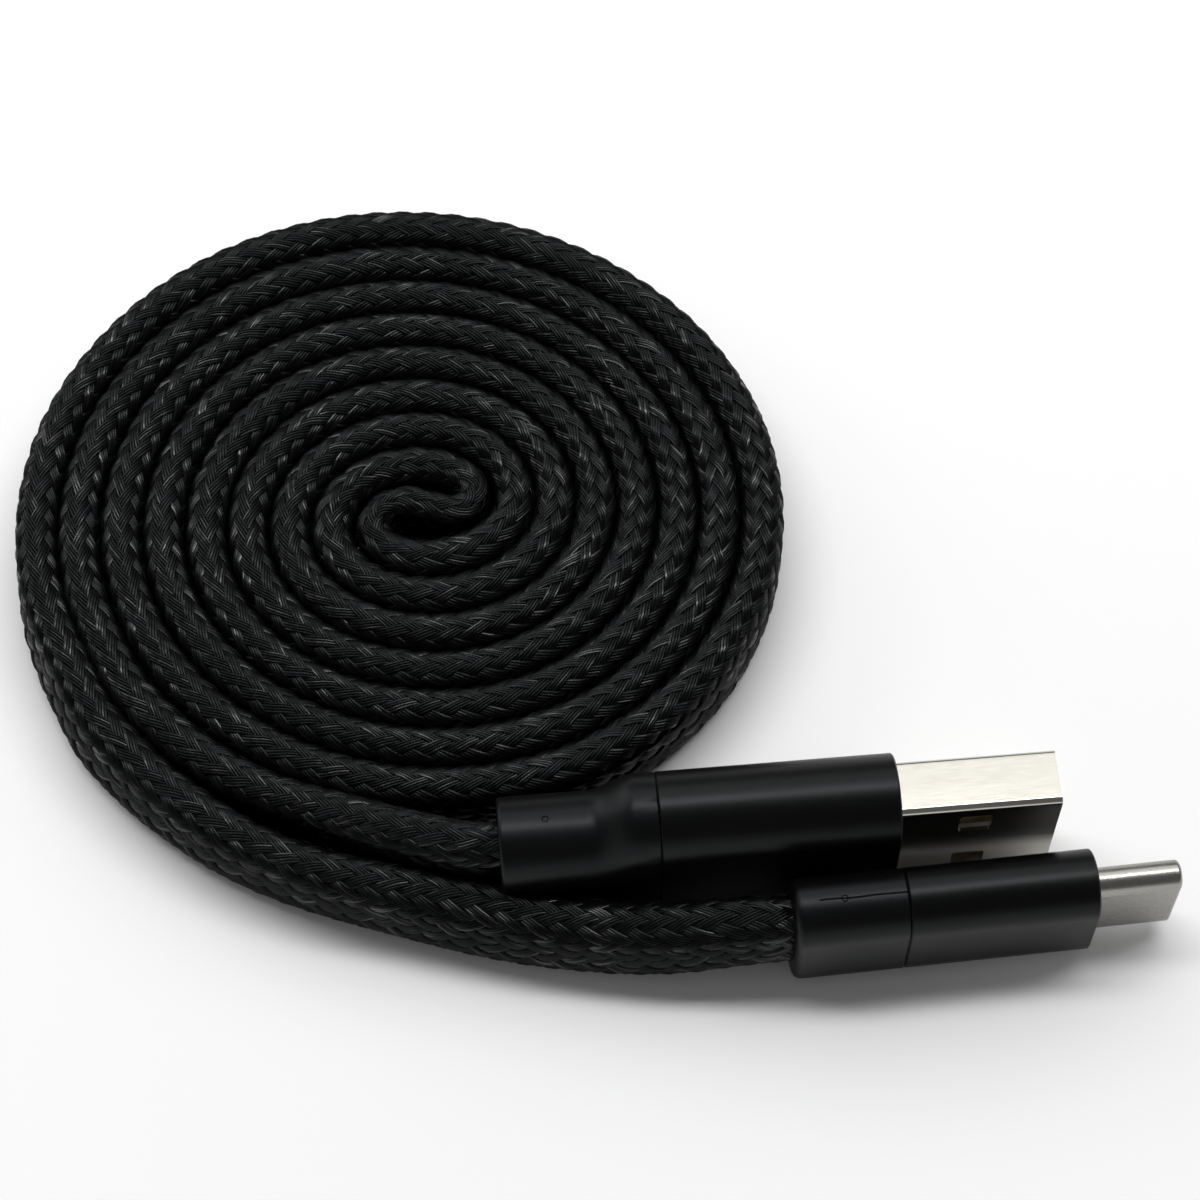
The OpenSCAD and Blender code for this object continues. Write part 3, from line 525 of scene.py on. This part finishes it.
def make_surface_grain():
    """Fine surface grain with slow handling marks, shared by every moulded, blasted or plated finish."""
    group = bpy.data.node_groups.new("surface_grain", "ShaderNodeTree")
    face = group.interface
    face.new_socket("Vector", in_out="INPUT", socket_type="NodeSocketVector")
    for name, value in (("Grain Scale", 4000.0), ("Mark Scale", 160.0), ("Tone Spread", 0.15),
                        ("Roughness", 0.35), ("Roughness Spread", 0.06), ("Depth", 0.2)):
        face.new_socket(name, in_out="INPUT", socket_type="NodeSocketFloat").default_value = value
    face.new_socket("Colour", in_out="INPUT", socket_type="NodeSocketColor")
    face.new_socket("Tinted", in_out="OUTPUT", socket_type="NodeSocketColor")
    face.new_socket("Gloss", in_out="OUTPUT", socket_type="NodeSocketFloat")
    face.new_socket("Normal", in_out="OUTPUT", socket_type="NodeSocketVector")
    nodes, links = group.nodes, group.links
    given = nodes.new("NodeGroupInput")
    result = nodes.new("NodeGroupOutput")
    grain = nodes.new("ShaderNodeTexNoise")
    grain.inputs["Detail"].default_value = 3
    links.new(given.outputs["Vector"], grain.inputs["Vector"])
    links.new(given.outputs["Grain Scale"], grain.inputs["Scale"])
    marks = nodes.new("ShaderNodeTexNoise")
    marks.inputs["Detail"].default_value = 5
    marks.inputs["Roughness"].default_value = 0.6
    links.new(given.outputs["Vector"], marks.inputs["Vector"])
    links.new(given.outputs["Mark Scale"], marks.inputs["Scale"])
    both = math_node(nodes, links, "ADD", grain.outputs["Fac"], marks.outputs["Fac"])
    centred = math_node(nodes, links, "SUBTRACT", both, 1.0)
    change = math_node(nodes, links, "MULTIPLY", centred, given.outputs["Tone Spread"])
    factor = math_node(nodes, links, "ADD", change, 1.0)
    tint = nodes.new("ShaderNodeVectorMath")
    tint.operation = "SCALE"
    links.new(given.outputs["Colour"], tint.inputs[0])
    links.new(factor, tint.inputs["Scale"])
    links.new(tint.outputs["Vector"], result.inputs["Tinted"])
    uneven = math_node(nodes, links, "MULTIPLY", centred, given.outputs["Roughness Spread"])
    gloss = math_node(nodes, links, "ADD", uneven, given.outputs["Roughness"])
    links.new(gloss, result.inputs["Gloss"])
    bump = nodes.new("ShaderNodeBump")
    bump.inputs["Distance"].default_value = 0.00001
    links.new(given.outputs["Depth"], bump.inputs["Strength"])
    links.new(grain.outputs["Fac"], bump.inputs["Height"])
    links.new(bump.outputs["Normal"], result.inputs["Normal"])


# ---- finishes -------------------------------------------------------------------------

# Depths of black among the filaments: place in the dye's noise, and colour.
NYLON_DEEP = (0.3, (0.0016, 0.0016, 0.0017, 1))
NYLON_MIDDLE = (0.52, (0.0023, 0.0024, 0.0026, 1))
NYLON_PALE = (0.78, (0.016, 0.0172, 0.019, 1))
# Painted shade: the near-black colour painted into the grooves between filaments.
NYLON_GROOVE_PAINTED_SHADE = (0.0008, 0.0008, 0.0009, 1)
GROOVE_SHADE_SHARPNESS = 2.6            # how soon a filament is clear of the painted groove shade beside it
DEEP_BLACK = (0.0014, 0.0014, 0.0017)

# Heights of the conductors in each plug, in millimetres, and the colours of their covers.
USB_A_COVER_HEIGHTS = (3.75, 6.25, 8.25, 10.75)
USB_C_COVER_HEIGHTS = (3.1, 4.7, 6.3, 7.9)
COVER_REACH = 15                # height above which no cover lies
COVER_COLOURS = ((0.5, 0.02, 0.015), (0.6, 0.6, 0.58), (0.02, 0.3, 0.06), (0.012, 0.012, 0.012))


def braid_material():
    """Dyed nylon: each filament has its own depth of black and some catch light; the grooves beside it get
    painted shade.
    """
    material, nodes, links, shader = new_material("charcoal_nylon_braid")
    shader.inputs["Specular IOR Level"].default_value = 0.12
    shader.inputs["Specular Tint"].default_value = (0.94, 0.985, 1, 1)
    shader.inputs["Coat Roughness"].default_value = 0.14
    weave = nodes.new("ShaderNodeUVMap")
    weave.uv_map = "weave"
    split = nodes.new("ShaderNodeSeparateXYZ")
    links.new(weave.outputs["UV"], split.inputs["Vector"])
    across = math_node(nodes, links, "MULTIPLY", split.outputs["X"], float(Braid.FILAMENTS))
    filament = math_node(nodes, links, "FLOOR", across, 0.0)
    place = nodes.new("ShaderNodeCombineXYZ")
    links.new(filament, place.inputs["X"])
    links.new(split.outputs["Y"], place.inputs["Y"])
    dye = stretched_noise(nodes, links, place.outputs["Vector"], scale=(7.3, 1.4, 1), detail=2)
    tone = nodes.new("ShaderNodeValToRGB")
    stops = tone.color_ramp.elements
    stops[0].position, stops[0].color = NYLON_DEEP
    stops[1].position, stops[1].color = NYLON_PALE
    stops.new(NYLON_MIDDLE[0]).color = NYLON_MIDDLE[1]
    links.new(dye, tone.inputs["Fac"])
    # Painted shade: the colour goes to near-black towards the groove on either side of each filament.
    beside = math_node(nodes, links, "PINGPONG", across, 0.5)
    clear_of_groove_shade = math_node(nodes, links, "MULTIPLY", beside, GROOVE_SHADE_SHARPNESS)
    clear_of_groove_shade.node.use_clamp = True
    shade = nodes.new("ShaderNodeMix")
    shade.data_type = "RGBA"
    shade.inputs["A"].default_value = NYLON_GROOVE_PAINTED_SHADE
    links.new(clear_of_groove_shade, shade.inputs["Factor"])
    links.new(tone.outputs["Color"], shade.inputs["B"])
    links.new(shade.outputs["Result"], shader.inputs["Base Color"])
    glint = stretched_noise(nodes, links, place.outputs["Vector"], scale=(3.9, 2.3, 1), detail=1)
    coat = carried(nodes, links, glint, from_range=(0.56, 0.7), to_range=(0.0, 0.75))
    links.new(coat, shader.inputs["Coat Weight"])
    fibre = stretched_noise(nodes, links, weave.outputs["UV"], scale=(40, 9, 1), detail=3)
    gloss = carried(nodes, links, fibre, from_range=(0.3, 0.7), to_range=(0.17, 0.36))
    links.new(gloss, shader.inputs["Roughness"])
    bump = nodes.new("ShaderNodeBump")
    bump.inputs["Strength"].default_value = 0.4
    bump.inputs["Distance"].default_value = 0.00003
    links.new(fibre, bump.inputs["Height"])
    links.new(bump.outputs["Normal"], shader.inputs["Normal"])
    return material


def grained_material(
        name, colour, roughness, metallic=0.0, specular=0.5, glance=(1, 1, 1), stretch=(1, 1, 1), yaw=0.0,
        **amounts):
    """A finish with surface grain, whose other inputs are the amounts.

    The glance tints its gloss. Stretch and yaw lay the grain along a drawn surface."""
    material, nodes, links, shader = new_material(name)
    shader.inputs["Metallic"].default_value = metallic
    shader.inputs["Specular IOR Level"].default_value = specular
    shader.inputs["Specular Tint"].default_value = (*glance, 1)
    where = nodes.new("ShaderNodeTexCoord")
    turn = nodes.new("ShaderNodeMapping")
    turn.inputs["Rotation"].default_value = (0, 0, -math.radians(yaw))
    links.new(where.outputs["Object"], turn.inputs["Vector"])
    lay = nodes.new("ShaderNodeMapping")
    lay.inputs["Scale"].default_value = stretch
    links.new(turn.outputs["Vector"], lay.inputs["Vector"])
    grain = nodes.new("ShaderNodeGroup")
    grain.node_tree = bpy.data.node_groups["surface_grain"]
    grain.inputs["Colour"].default_value = (*colour, 1)
    grain.inputs["Roughness"].default_value = roughness
    for socket, value in amounts.items():
        grain.inputs[socket.replace("_", " ")].default_value = value
    links.new(lay.outputs["Vector"], grain.inputs["Vector"])
    links.new(grain.outputs["Tinted"], shader.inputs["Base Color"])
    links.new(grain.outputs["Gloss"], shader.inputs["Roughness"])
    links.new(grain.outputs["Normal"], shader.inputs["Normal"])
    return material


def cover_material(name, heights):
    """Conductor covers, one colour for each conductor by its height in the plug."""
    material = grained_material(name, (1, 1, 1), 0.4, Grain_Scale=2500.0, Tone_Spread=0.1)
    nodes, links = material.node_tree.nodes, material.node_tree.links
    where = nodes.new("ShaderNodeTexCoord")
    split = nodes.new("ShaderNodeSeparateXYZ")
    links.new(where.outputs["Object"], split.inputs["Vector"])
    place = carried(nodes, links, split.outputs["Z"], (0.0, COVER_REACH * MM), (0.0, 1.0))
    chosen = nodes.new("ShaderNodeValToRGB")
    chosen.color_ramp.interpolation = "CONSTANT"
    stops = chosen.color_ramp.elements
    borders = [(below + above) / 2 / COVER_REACH for below, above in zip(heights, heights[1:])]
    stops[0].color = (*COVER_COLOURS[0], 1)
    stops[1].position = borders[0]
    stops[1].color = (*COVER_COLOURS[1], 1)
    for border, colour in zip(borders[1:], COVER_COLOURS[2:]):
        stops.new(border).color = (*colour, 1)
    links.new(place, chosen.inputs["Fac"])
    grain = next(node for node in nodes if node.type == "GROUP")
    links.new(chosen.outputs["Color"], grain.inputs["Colour"])
    return material


def give(piece, material):
    """Gives the piece this one material."""
    piece.data.materials.clear()
    piece.data.materials.append(material)


def dress_nodes():
    """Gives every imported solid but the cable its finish."""
    nickel = grained_material(
        "nickel_plating", (0.5, 0.485, 0.44), 0.13, metallic=1.0, stretch=(0.08, 1, 1), yaw=USB_A_YAW,
        Grain_Scale=9000.0, Mark_Scale=260.0, Tone_Spread=0.1, Roughness_Spread=0.08, Depth=0.2)
    steel = grained_material(
        "drawn_steel", (0.33, 0.32, 0.3), 0.28, metallic=1.0, stretch=(0.15, 1, 1), yaw=USB_C_YAW,
        Grain_Scale=7000.0, Mark_Scale=300.0, Tone_Spread=0.1, Roughness_Spread=0.12, Depth=0.3)
    spring = grained_material(
        "spring_steel", (0.5, 0.49, 0.47), 0.3, metallic=1.0, Grain_Scale=6000.0)
    gold = grained_material(
        "gold_plating", (0.7, 0.54, 0.3), 0.25, metallic=1.0, Grain_Scale=6000.0, Depth=0.1)
    anodised = grained_material(
        "black_anodising", DEEP_BLACK, 0.33, specular=0.165, glance=(0.95, 0.99, 1),
        Grain_Scale=9000.0, Mark_Scale=220.0, Tone_Spread=0.3, Roughness_Spread=0.08, Depth=0.55)
    moulded = grained_material(
        "black_boot_moulding", DEEP_BLACK, 0.36, specular=0.18, glance=(0.92, 0.97, 1),
        Grain_Scale=6000.0, Mark_Scale=180.0, Tone_Spread=0.3, Roughness_Spread=0.1, Depth=0.45)
    black = grained_material("black_moulding", (0.012, 0.012, 0.012), 0.45, Grain_Scale=5000.0)
    chip = grained_material("resistor_ceramic", (0.02, 0.02, 0.02), 0.3, Grain_Scale=9000.0)
    white = grained_material(
        "tongue_moulding", (0.62, 0.6, 0.58), 0.45, Grain_Scale=3000.0, Tone_Spread=0.08)
    green = grained_material(
        "board_lacquer", (0.01, 0.12, 0.04), 0.25, Grain_Scale=2500.0, Tone_Spread=0.25)
    finishes = {
        "usb_a_shell": nickel,
        "usb_a_tongue": white,
        "usb_a_power_contacts": gold,
        "usb_a_data_contacts": gold,
        "usb_a_wires": cover_material("usb_a_conductor_covers", USB_A_COVER_HEIGHTS),
        "usb_a_inner_mould": black,
        "usb_a_sleeve": anodised,
        "usb_a_boot": moulded,
        "usb_c_shell": steel,
        "usb_c_contact_block": black,
        "usb_c_upper_contacts": gold,
        "usb_c_lower_contacts": gold,
        "usb_c_latch_plate": spring,
        "usb_c_ground_springs": spring,
        "usb_c_board": green,
        "usb_c_resistor": chip,
        "usb_c_wires": cover_material("usb_c_conductor_covers", USB_C_COVER_HEIGHTS),
        "usb_c_inner_mould": black,
        "usb_c_sleeve": anodised,
        "usb_c_boot": moulded,
    }
    for node, finish in finishes.items():
        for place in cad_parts[node].material_slots:
            place.material = finish


# ---- cable ----------------------------------------------------------------------------

SHARES = "abcd"                 # each lay is made in as many pieces
YARNS_A_PIECE = Braid.WALES // len(SHARES)


def add_cable():
    """The jacket and the eight pieces of braid on it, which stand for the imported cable."""
    cable = Cable()
    jacket = jacket_piece(cable)
    give(jacket, grained_material("black_jacket", (0.008, 0.008, 0.009), 0.7, Grain_Scale=3000.0))
    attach(jacket, "root")
    braid = Braid(cable)
    finish = braid_material()
    for lay_name, lay in (("right", 1), ("left", -1)):
        for place, share in enumerate(SHARES):
            numbers = range(place * YARNS_A_PIECE, (place + 1) * YARNS_A_PIECE)
            piece = braid.piece(f"braid_{lay_name}_{share}", numbers, lay)
            give(piece, finish)
            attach(piece, "root")
    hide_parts("cable_coil", "cable_tail_usb_a", "cable_tail_usb_c")


# ---- boots, in millimetres --------------------------------------------------------------

# Gate marks: distance in front of the sleeve's front end, distance left of the axis, height.
USB_A_GATE = (-26.85, 0.19, 12.27)
USB_C_GATE = (-19.36, -0.12, 2 * USB_C_HEIGHT)
GATE_RADIUS = 0.27
GATE_DEPTH = 0.2
GATE_PROUD = 0.035              # how far the rim stands above the boot
GATE_RIM = 0.05                 # width of the rim
GATE_TAPER = 0.94               # share of its width that the rim's inner edge keeps
GATE_WALL = 0.03                # width of the slope into the dish
GATE_DISH = 0.08                # depth of the dish

PARTING_REAR = -21.3
PARTING_FRONT = -14.6
PARTING_SIDE = -0.12
PARTING_SUNK = 0.02             # how far the middle of the line lies below the crown
PARTING_WIDTH = 0.13
PARTING_CREST = 0.15            # share of its width that its top keeps
# How far the line strays to the left at even distances from its rear end to its front end.
PARTING_WANDER = (
    0.03, 0.05, 0.045, 0.02, -0.01, -0.03, -0.02, 0.0, 0.015, 0.02, 0.0, -0.015, -0.02, -0.02,
)


def select_where(piece, wanted):
    """Leaves only the vertices selected whose place in the mesh the test wants, in edit mode."""
    bpy.ops.mesh.select_all(action="DESELECT")
    shape = bmesh.from_edit_mesh(piece.data)
    for vertex in shape.verts:
        vertex.select_set(wanted(vertex.co))
    shape.select_flush(True)
    bmesh.update_edit_mesh(piece.data)


def finish_mark(mark, name, material, bevel):
    """Rounds the edges, sets the place into the mesh and gives the mark its finish and its body."""
    mark.name = name
    mark.data.name = name
    rounding = mark.modifiers.new("rounding", "BEVEL")
    rounding.width = bevel * MM
    rounding.segments = 3
    bpy.ops.object.modifier_apply(modifier=rounding.name)
    bpy.ops.object.transform_apply(location=True, rotation=True, scale=True)
    bpy.ops.object.shade_smooth_by_angle(angle=math.radians(40))
    give(mark, material)
    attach(mark, "root")


def add_gate_mark(name, spot, material):
    """The ring with a dished middle that the moulding gate leaves on the crown of a boot."""
    middle = Vector(spot) - Vector((0, 0, GATE_DEPTH / 2 - GATE_PROUD))
    bpy.ops.object.select_all(action="DESELECT")
    bpy.ops.mesh.primitive_cylinder_add(
        vertices=40, radius=GATE_RADIUS * MM, depth=GATE_DEPTH * MM, location=middle * MM)
    mark = bpy.context.object
    bpy.ops.object.mode_set(mode="EDIT")
    bpy.ops.mesh.select_mode(type="VERT")
    select_where(mark, lambda place: place.z > 0)
    bpy.ops.mesh.inset(thickness=GATE_RIM * MM)
    bpy.ops.transform.resize(value=(GATE_TAPER, GATE_TAPER, 1))
    bpy.ops.mesh.inset(thickness=GATE_WALL * MM)
    bpy.ops.transform.translate(value=(0, 0, -GATE_DISH * MM))
    bpy.ops.object.mode_set(mode="OBJECT")
    finish_mark(mark, name, material, bevel=0.012)


def add_parting_line(material):
    """The fine raised line where the two halves of the USB-C boot's mould met, with a slight wander."""
    reach = (PARTING_FRONT - PARTING_REAR) * MM
    top = PARTING_WIDTH / 2 * MM
    cuts = len(PARTING_WANDER) - 2
    stretch = reach / (cuts + 1)
    middle = plug_point(
        USB_C_AT, USB_C_YAW, 2 * USB_C_HEIGHT - PARTING_SUNK,
        (PARTING_REAR + PARTING_FRONT) / 2, PARTING_SIDE)
    bpy.ops.object.select_all(action="DESELECT")
    bpy.ops.mesh.primitive_cube_add(
        size=1, location=Vector(middle) * MM, rotation=(0, 0, math.radians(USB_C_YAW)))
    line = bpy.context.object
    line.scale = (reach, PARTING_WIDTH * MM, PARTING_WIDTH * MM)
    bpy.ops.object.transform_apply(location=False, rotation=False, scale=True)
    bpy.ops.object.mode_set(mode="EDIT")
    bpy.ops.mesh.select_mode(type="VERT")
    bpy.ops.mesh.select_all(action="SELECT")
    bpy.ops.mesh.subdivide(number_cuts=cuts)
    select_where(line, lambda place: place.z > 0.9 * top)
    bpy.ops.transform.resize(value=(1, PARTING_CREST, 1), orient_type="LOCAL")
    for cut, aside in enumerate(PARTING_WANDER):
        at = cut * stretch - reach / 2
        select_where(line, lambda place: abs(place.x - at) < stretch / 4)
        bpy.ops.transform.translate(value=(0, aside * MM, 0), orient_type="LOCAL")
    bpy.ops.object.mode_set(mode="OBJECT")
    finish_mark(line, "usb_c_boot_parting_line", material, bevel=0.01)


def add_smooth_boot():
    """The USB-A boot's own form, with its flare shaded as one smooth moulding."""
    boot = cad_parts["usb_a_boot"].copy()
    boot.data = boot.data.copy()
    boot.name = "usb_a_boot_moulding"
    boot.data.name = boot.name
    bpy.context.collection.objects.link(boot)
    bpy.ops.object.select_all(action="DESELECT")
    boot.select_set(True)
    bpy.context.view_layer.objects.active = boot
    bpy.ops.object.mode_set(mode="EDIT")
    bpy.ops.mesh.select_all(action="SELECT")
    bpy.ops.mesh.remove_doubles(threshold=0.002 * MM)
    bpy.ops.object.mode_set(mode="OBJECT")
    bpy.ops.object.shade_smooth_by_angle(angle=math.radians(30))
    weighting = boot.modifiers.new("weighting", "WEIGHTED_NORMAL")
    weighting.keep_sharp = True
    bpy.ops.object.modifier_apply(modifier=weighting.name)
    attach(boot, "root")
    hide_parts("usb_a_boot")


def add_boot_marks():
    """The fine moulding marks on the crowns of both boots, in a darker, duller copy of the boot's finish
    that paints shade on them.
    """
    # Painted shade: the marks are real shapes, but their finish is made darker and duller than the boot's
    # so that they read dark.
    painted_shade_flash = grained_material("boot_flash_painted_shade", (0.001, 0.001, 0.001), 0.6, specular=0.05, Grain_Scale=6000.0)
    for name, at, yaw, (forward, side, height) in (
            ("usb_a_boot_gate_mark", USB_A_AT, USB_A_YAW, USB_A_GATE),
            ("usb_c_boot_gate_mark", USB_C_AT, USB_C_YAW, USB_C_GATE)):
        add_gate_mark(name, plug_point(at, yaw, height, forward, side), painted_shade_flash)
    add_parting_line(painted_shade_flash)


# ---- floor and light ------------------------------------------------------------------

FLOOR_HALF = 3.0
CABLE_MIDDLE = (-0.018, 0.035, 0)
WHITENING = (0.045, 0.13)       # distances from the cable's middle where it starts and is complete
SKY_AT_TABLE = (0.8, 0.8, 0.8, 1)
SKY_ABOVE = (0.16, 0.16, 0.16, 1)
SKY_DIM_FROM = 0.3              # height, of 1 overhead, from which the sky is at its dimmest


def add_floor():
    """A white table that the whole cable lies on."""
    low, high = -FLOOR_HALF, FLOOR_HALF
    mesh = bpy.data.meshes.new("floor")
    mesh.from_pydata([(low, low, 0), (high, low, 0), (high, high, 0), (low, high, 0)], [], [(0, 1, 2, 3)])
    floor = bpy.data.objects.new("floor", mesh)
    bpy.context.collection.objects.link(floor)
    material, nodes, links, shader = new_material("white_table")
    shader.inputs["Base Color"].default_value = (0.96, 0.96, 0.96, 1)
    shader.inputs["Roughness"].default_value = 0.9
    shader.inputs["Specular IOR Level"].default_value = 0
    whiten_far_floor(nodes, links, shader)
    give(floor, material)


def whiten_far_floor(nodes, links, shader):
    """Away from the cable the table passes into a plain white background, in mirrors too."""
    where = nodes.new("ShaderNodeTexCoord")
    reach = nodes.new("ShaderNodeVectorMath")
    reach.operation = "DISTANCE"
    reach.inputs[1].default_value = CABLE_MIDDLE
    links.new(where.outputs["Object"], reach.inputs[0])
    far = carried(nodes, links, reach.outputs["Value"], WHITENING, (0.0, 1.0))
    far.node.interpolation_type = "SMOOTHSTEP"
    path = nodes.new("ShaderNodeLightPath")
    seen = math_node(nodes, links, "MAXIMUM", path.outputs["Is Camera Ray"], path.outputs["Is Glossy Ray"])
    seen = math_node(nodes, links, "MAXIMUM", seen, path.outputs["Is Transmission Ray"])
    share = math_node(nodes, links, "MULTIPLY", far, seen)
    white = nodes.new("ShaderNodeEmission")
    white.inputs["Strength"].default_value = 1.0
    mix = nodes.new("ShaderNodeMixShader")
    links.new(share, mix.inputs["Fac"])
    links.new(shader.outputs["BSDF"], mix.inputs[1])
    links.new(white.outputs["Emission"], mix.inputs[2])
    links.new(mix.outputs["Shader"], nodes["Material Output"].inputs["Surface"])


def add_softbox(name, at, target, size, power):
    """A rectangular lamp, which is seen only in what mirrors it."""
    lamp = bpy.data.lights.new(name, "AREA")
    lamp.shape = "RECTANGLE"
    lamp.size, lamp.size_y = size
    lamp.energy = power
    softbox = bpy.data.objects.new(name, lamp)
    softbox.location = at
    aim(softbox, target)
    softbox.visible_camera = False
    bpy.context.collection.objects.link(softbox)


def light_scene():
    """Three softboxes and a sky that is pale near the table and dim above.

    The narrow strip is mirrored in the crowns of sleeves and boots, the wide box behind it in the flat
    top of the USB-A shell, and the box on the left gives the flare of the boot its shine."""
    add_softbox(
        "softbox_strip", at=(-0.02, 0.175, 0.62), target=(-0.02, 0.01, 0), size=(0.95, 0.11), power=3.1)
    add_softbox(
        "softbox_back", at=(-0.02, 0.44, 0.53), target=(-0.02, 0.02, 0), size=(0.95, 0.46), power=1.9)
    add_softbox(
        "softbox_left", at=(-0.75, 0.5, 0.33), target=(-0.03, 0.02, 0), size=(0.6, 0.45), power=1.5)
    world = bpy.data.worlds.new("studio")
    bpy.context.scene.world = world
    world.use_nodes = True
    nodes, links = world.node_tree.nodes, world.node_tree.links
    where = nodes.new("ShaderNodeTexCoord")
    split = nodes.new("ShaderNodeSeparateXYZ")
    links.new(where.outputs["Generated"], split.inputs["Vector"])
    ramp = nodes.new("ShaderNodeValToRGB")
    ramp.color_ramp.elements[0].position = 0.0
    ramp.color_ramp.elements[0].color = SKY_AT_TABLE
    ramp.color_ramp.elements[1].position = SKY_DIM_FROM
    ramp.color_ramp.elements[1].color = SKY_ABOVE
    links.new(split.outputs["Z"], ramp.inputs["Fac"])
    links.new(ramp.outputs["Color"], nodes["Background"].inputs["Color"])


bpy.context.scene.view_settings.view_transform = "Standard"
add_camera()
make_surface_grain()
add_cable()
dress_nodes()
add_smooth_boot()
add_boot_marks()
add_floor()
light_scene()
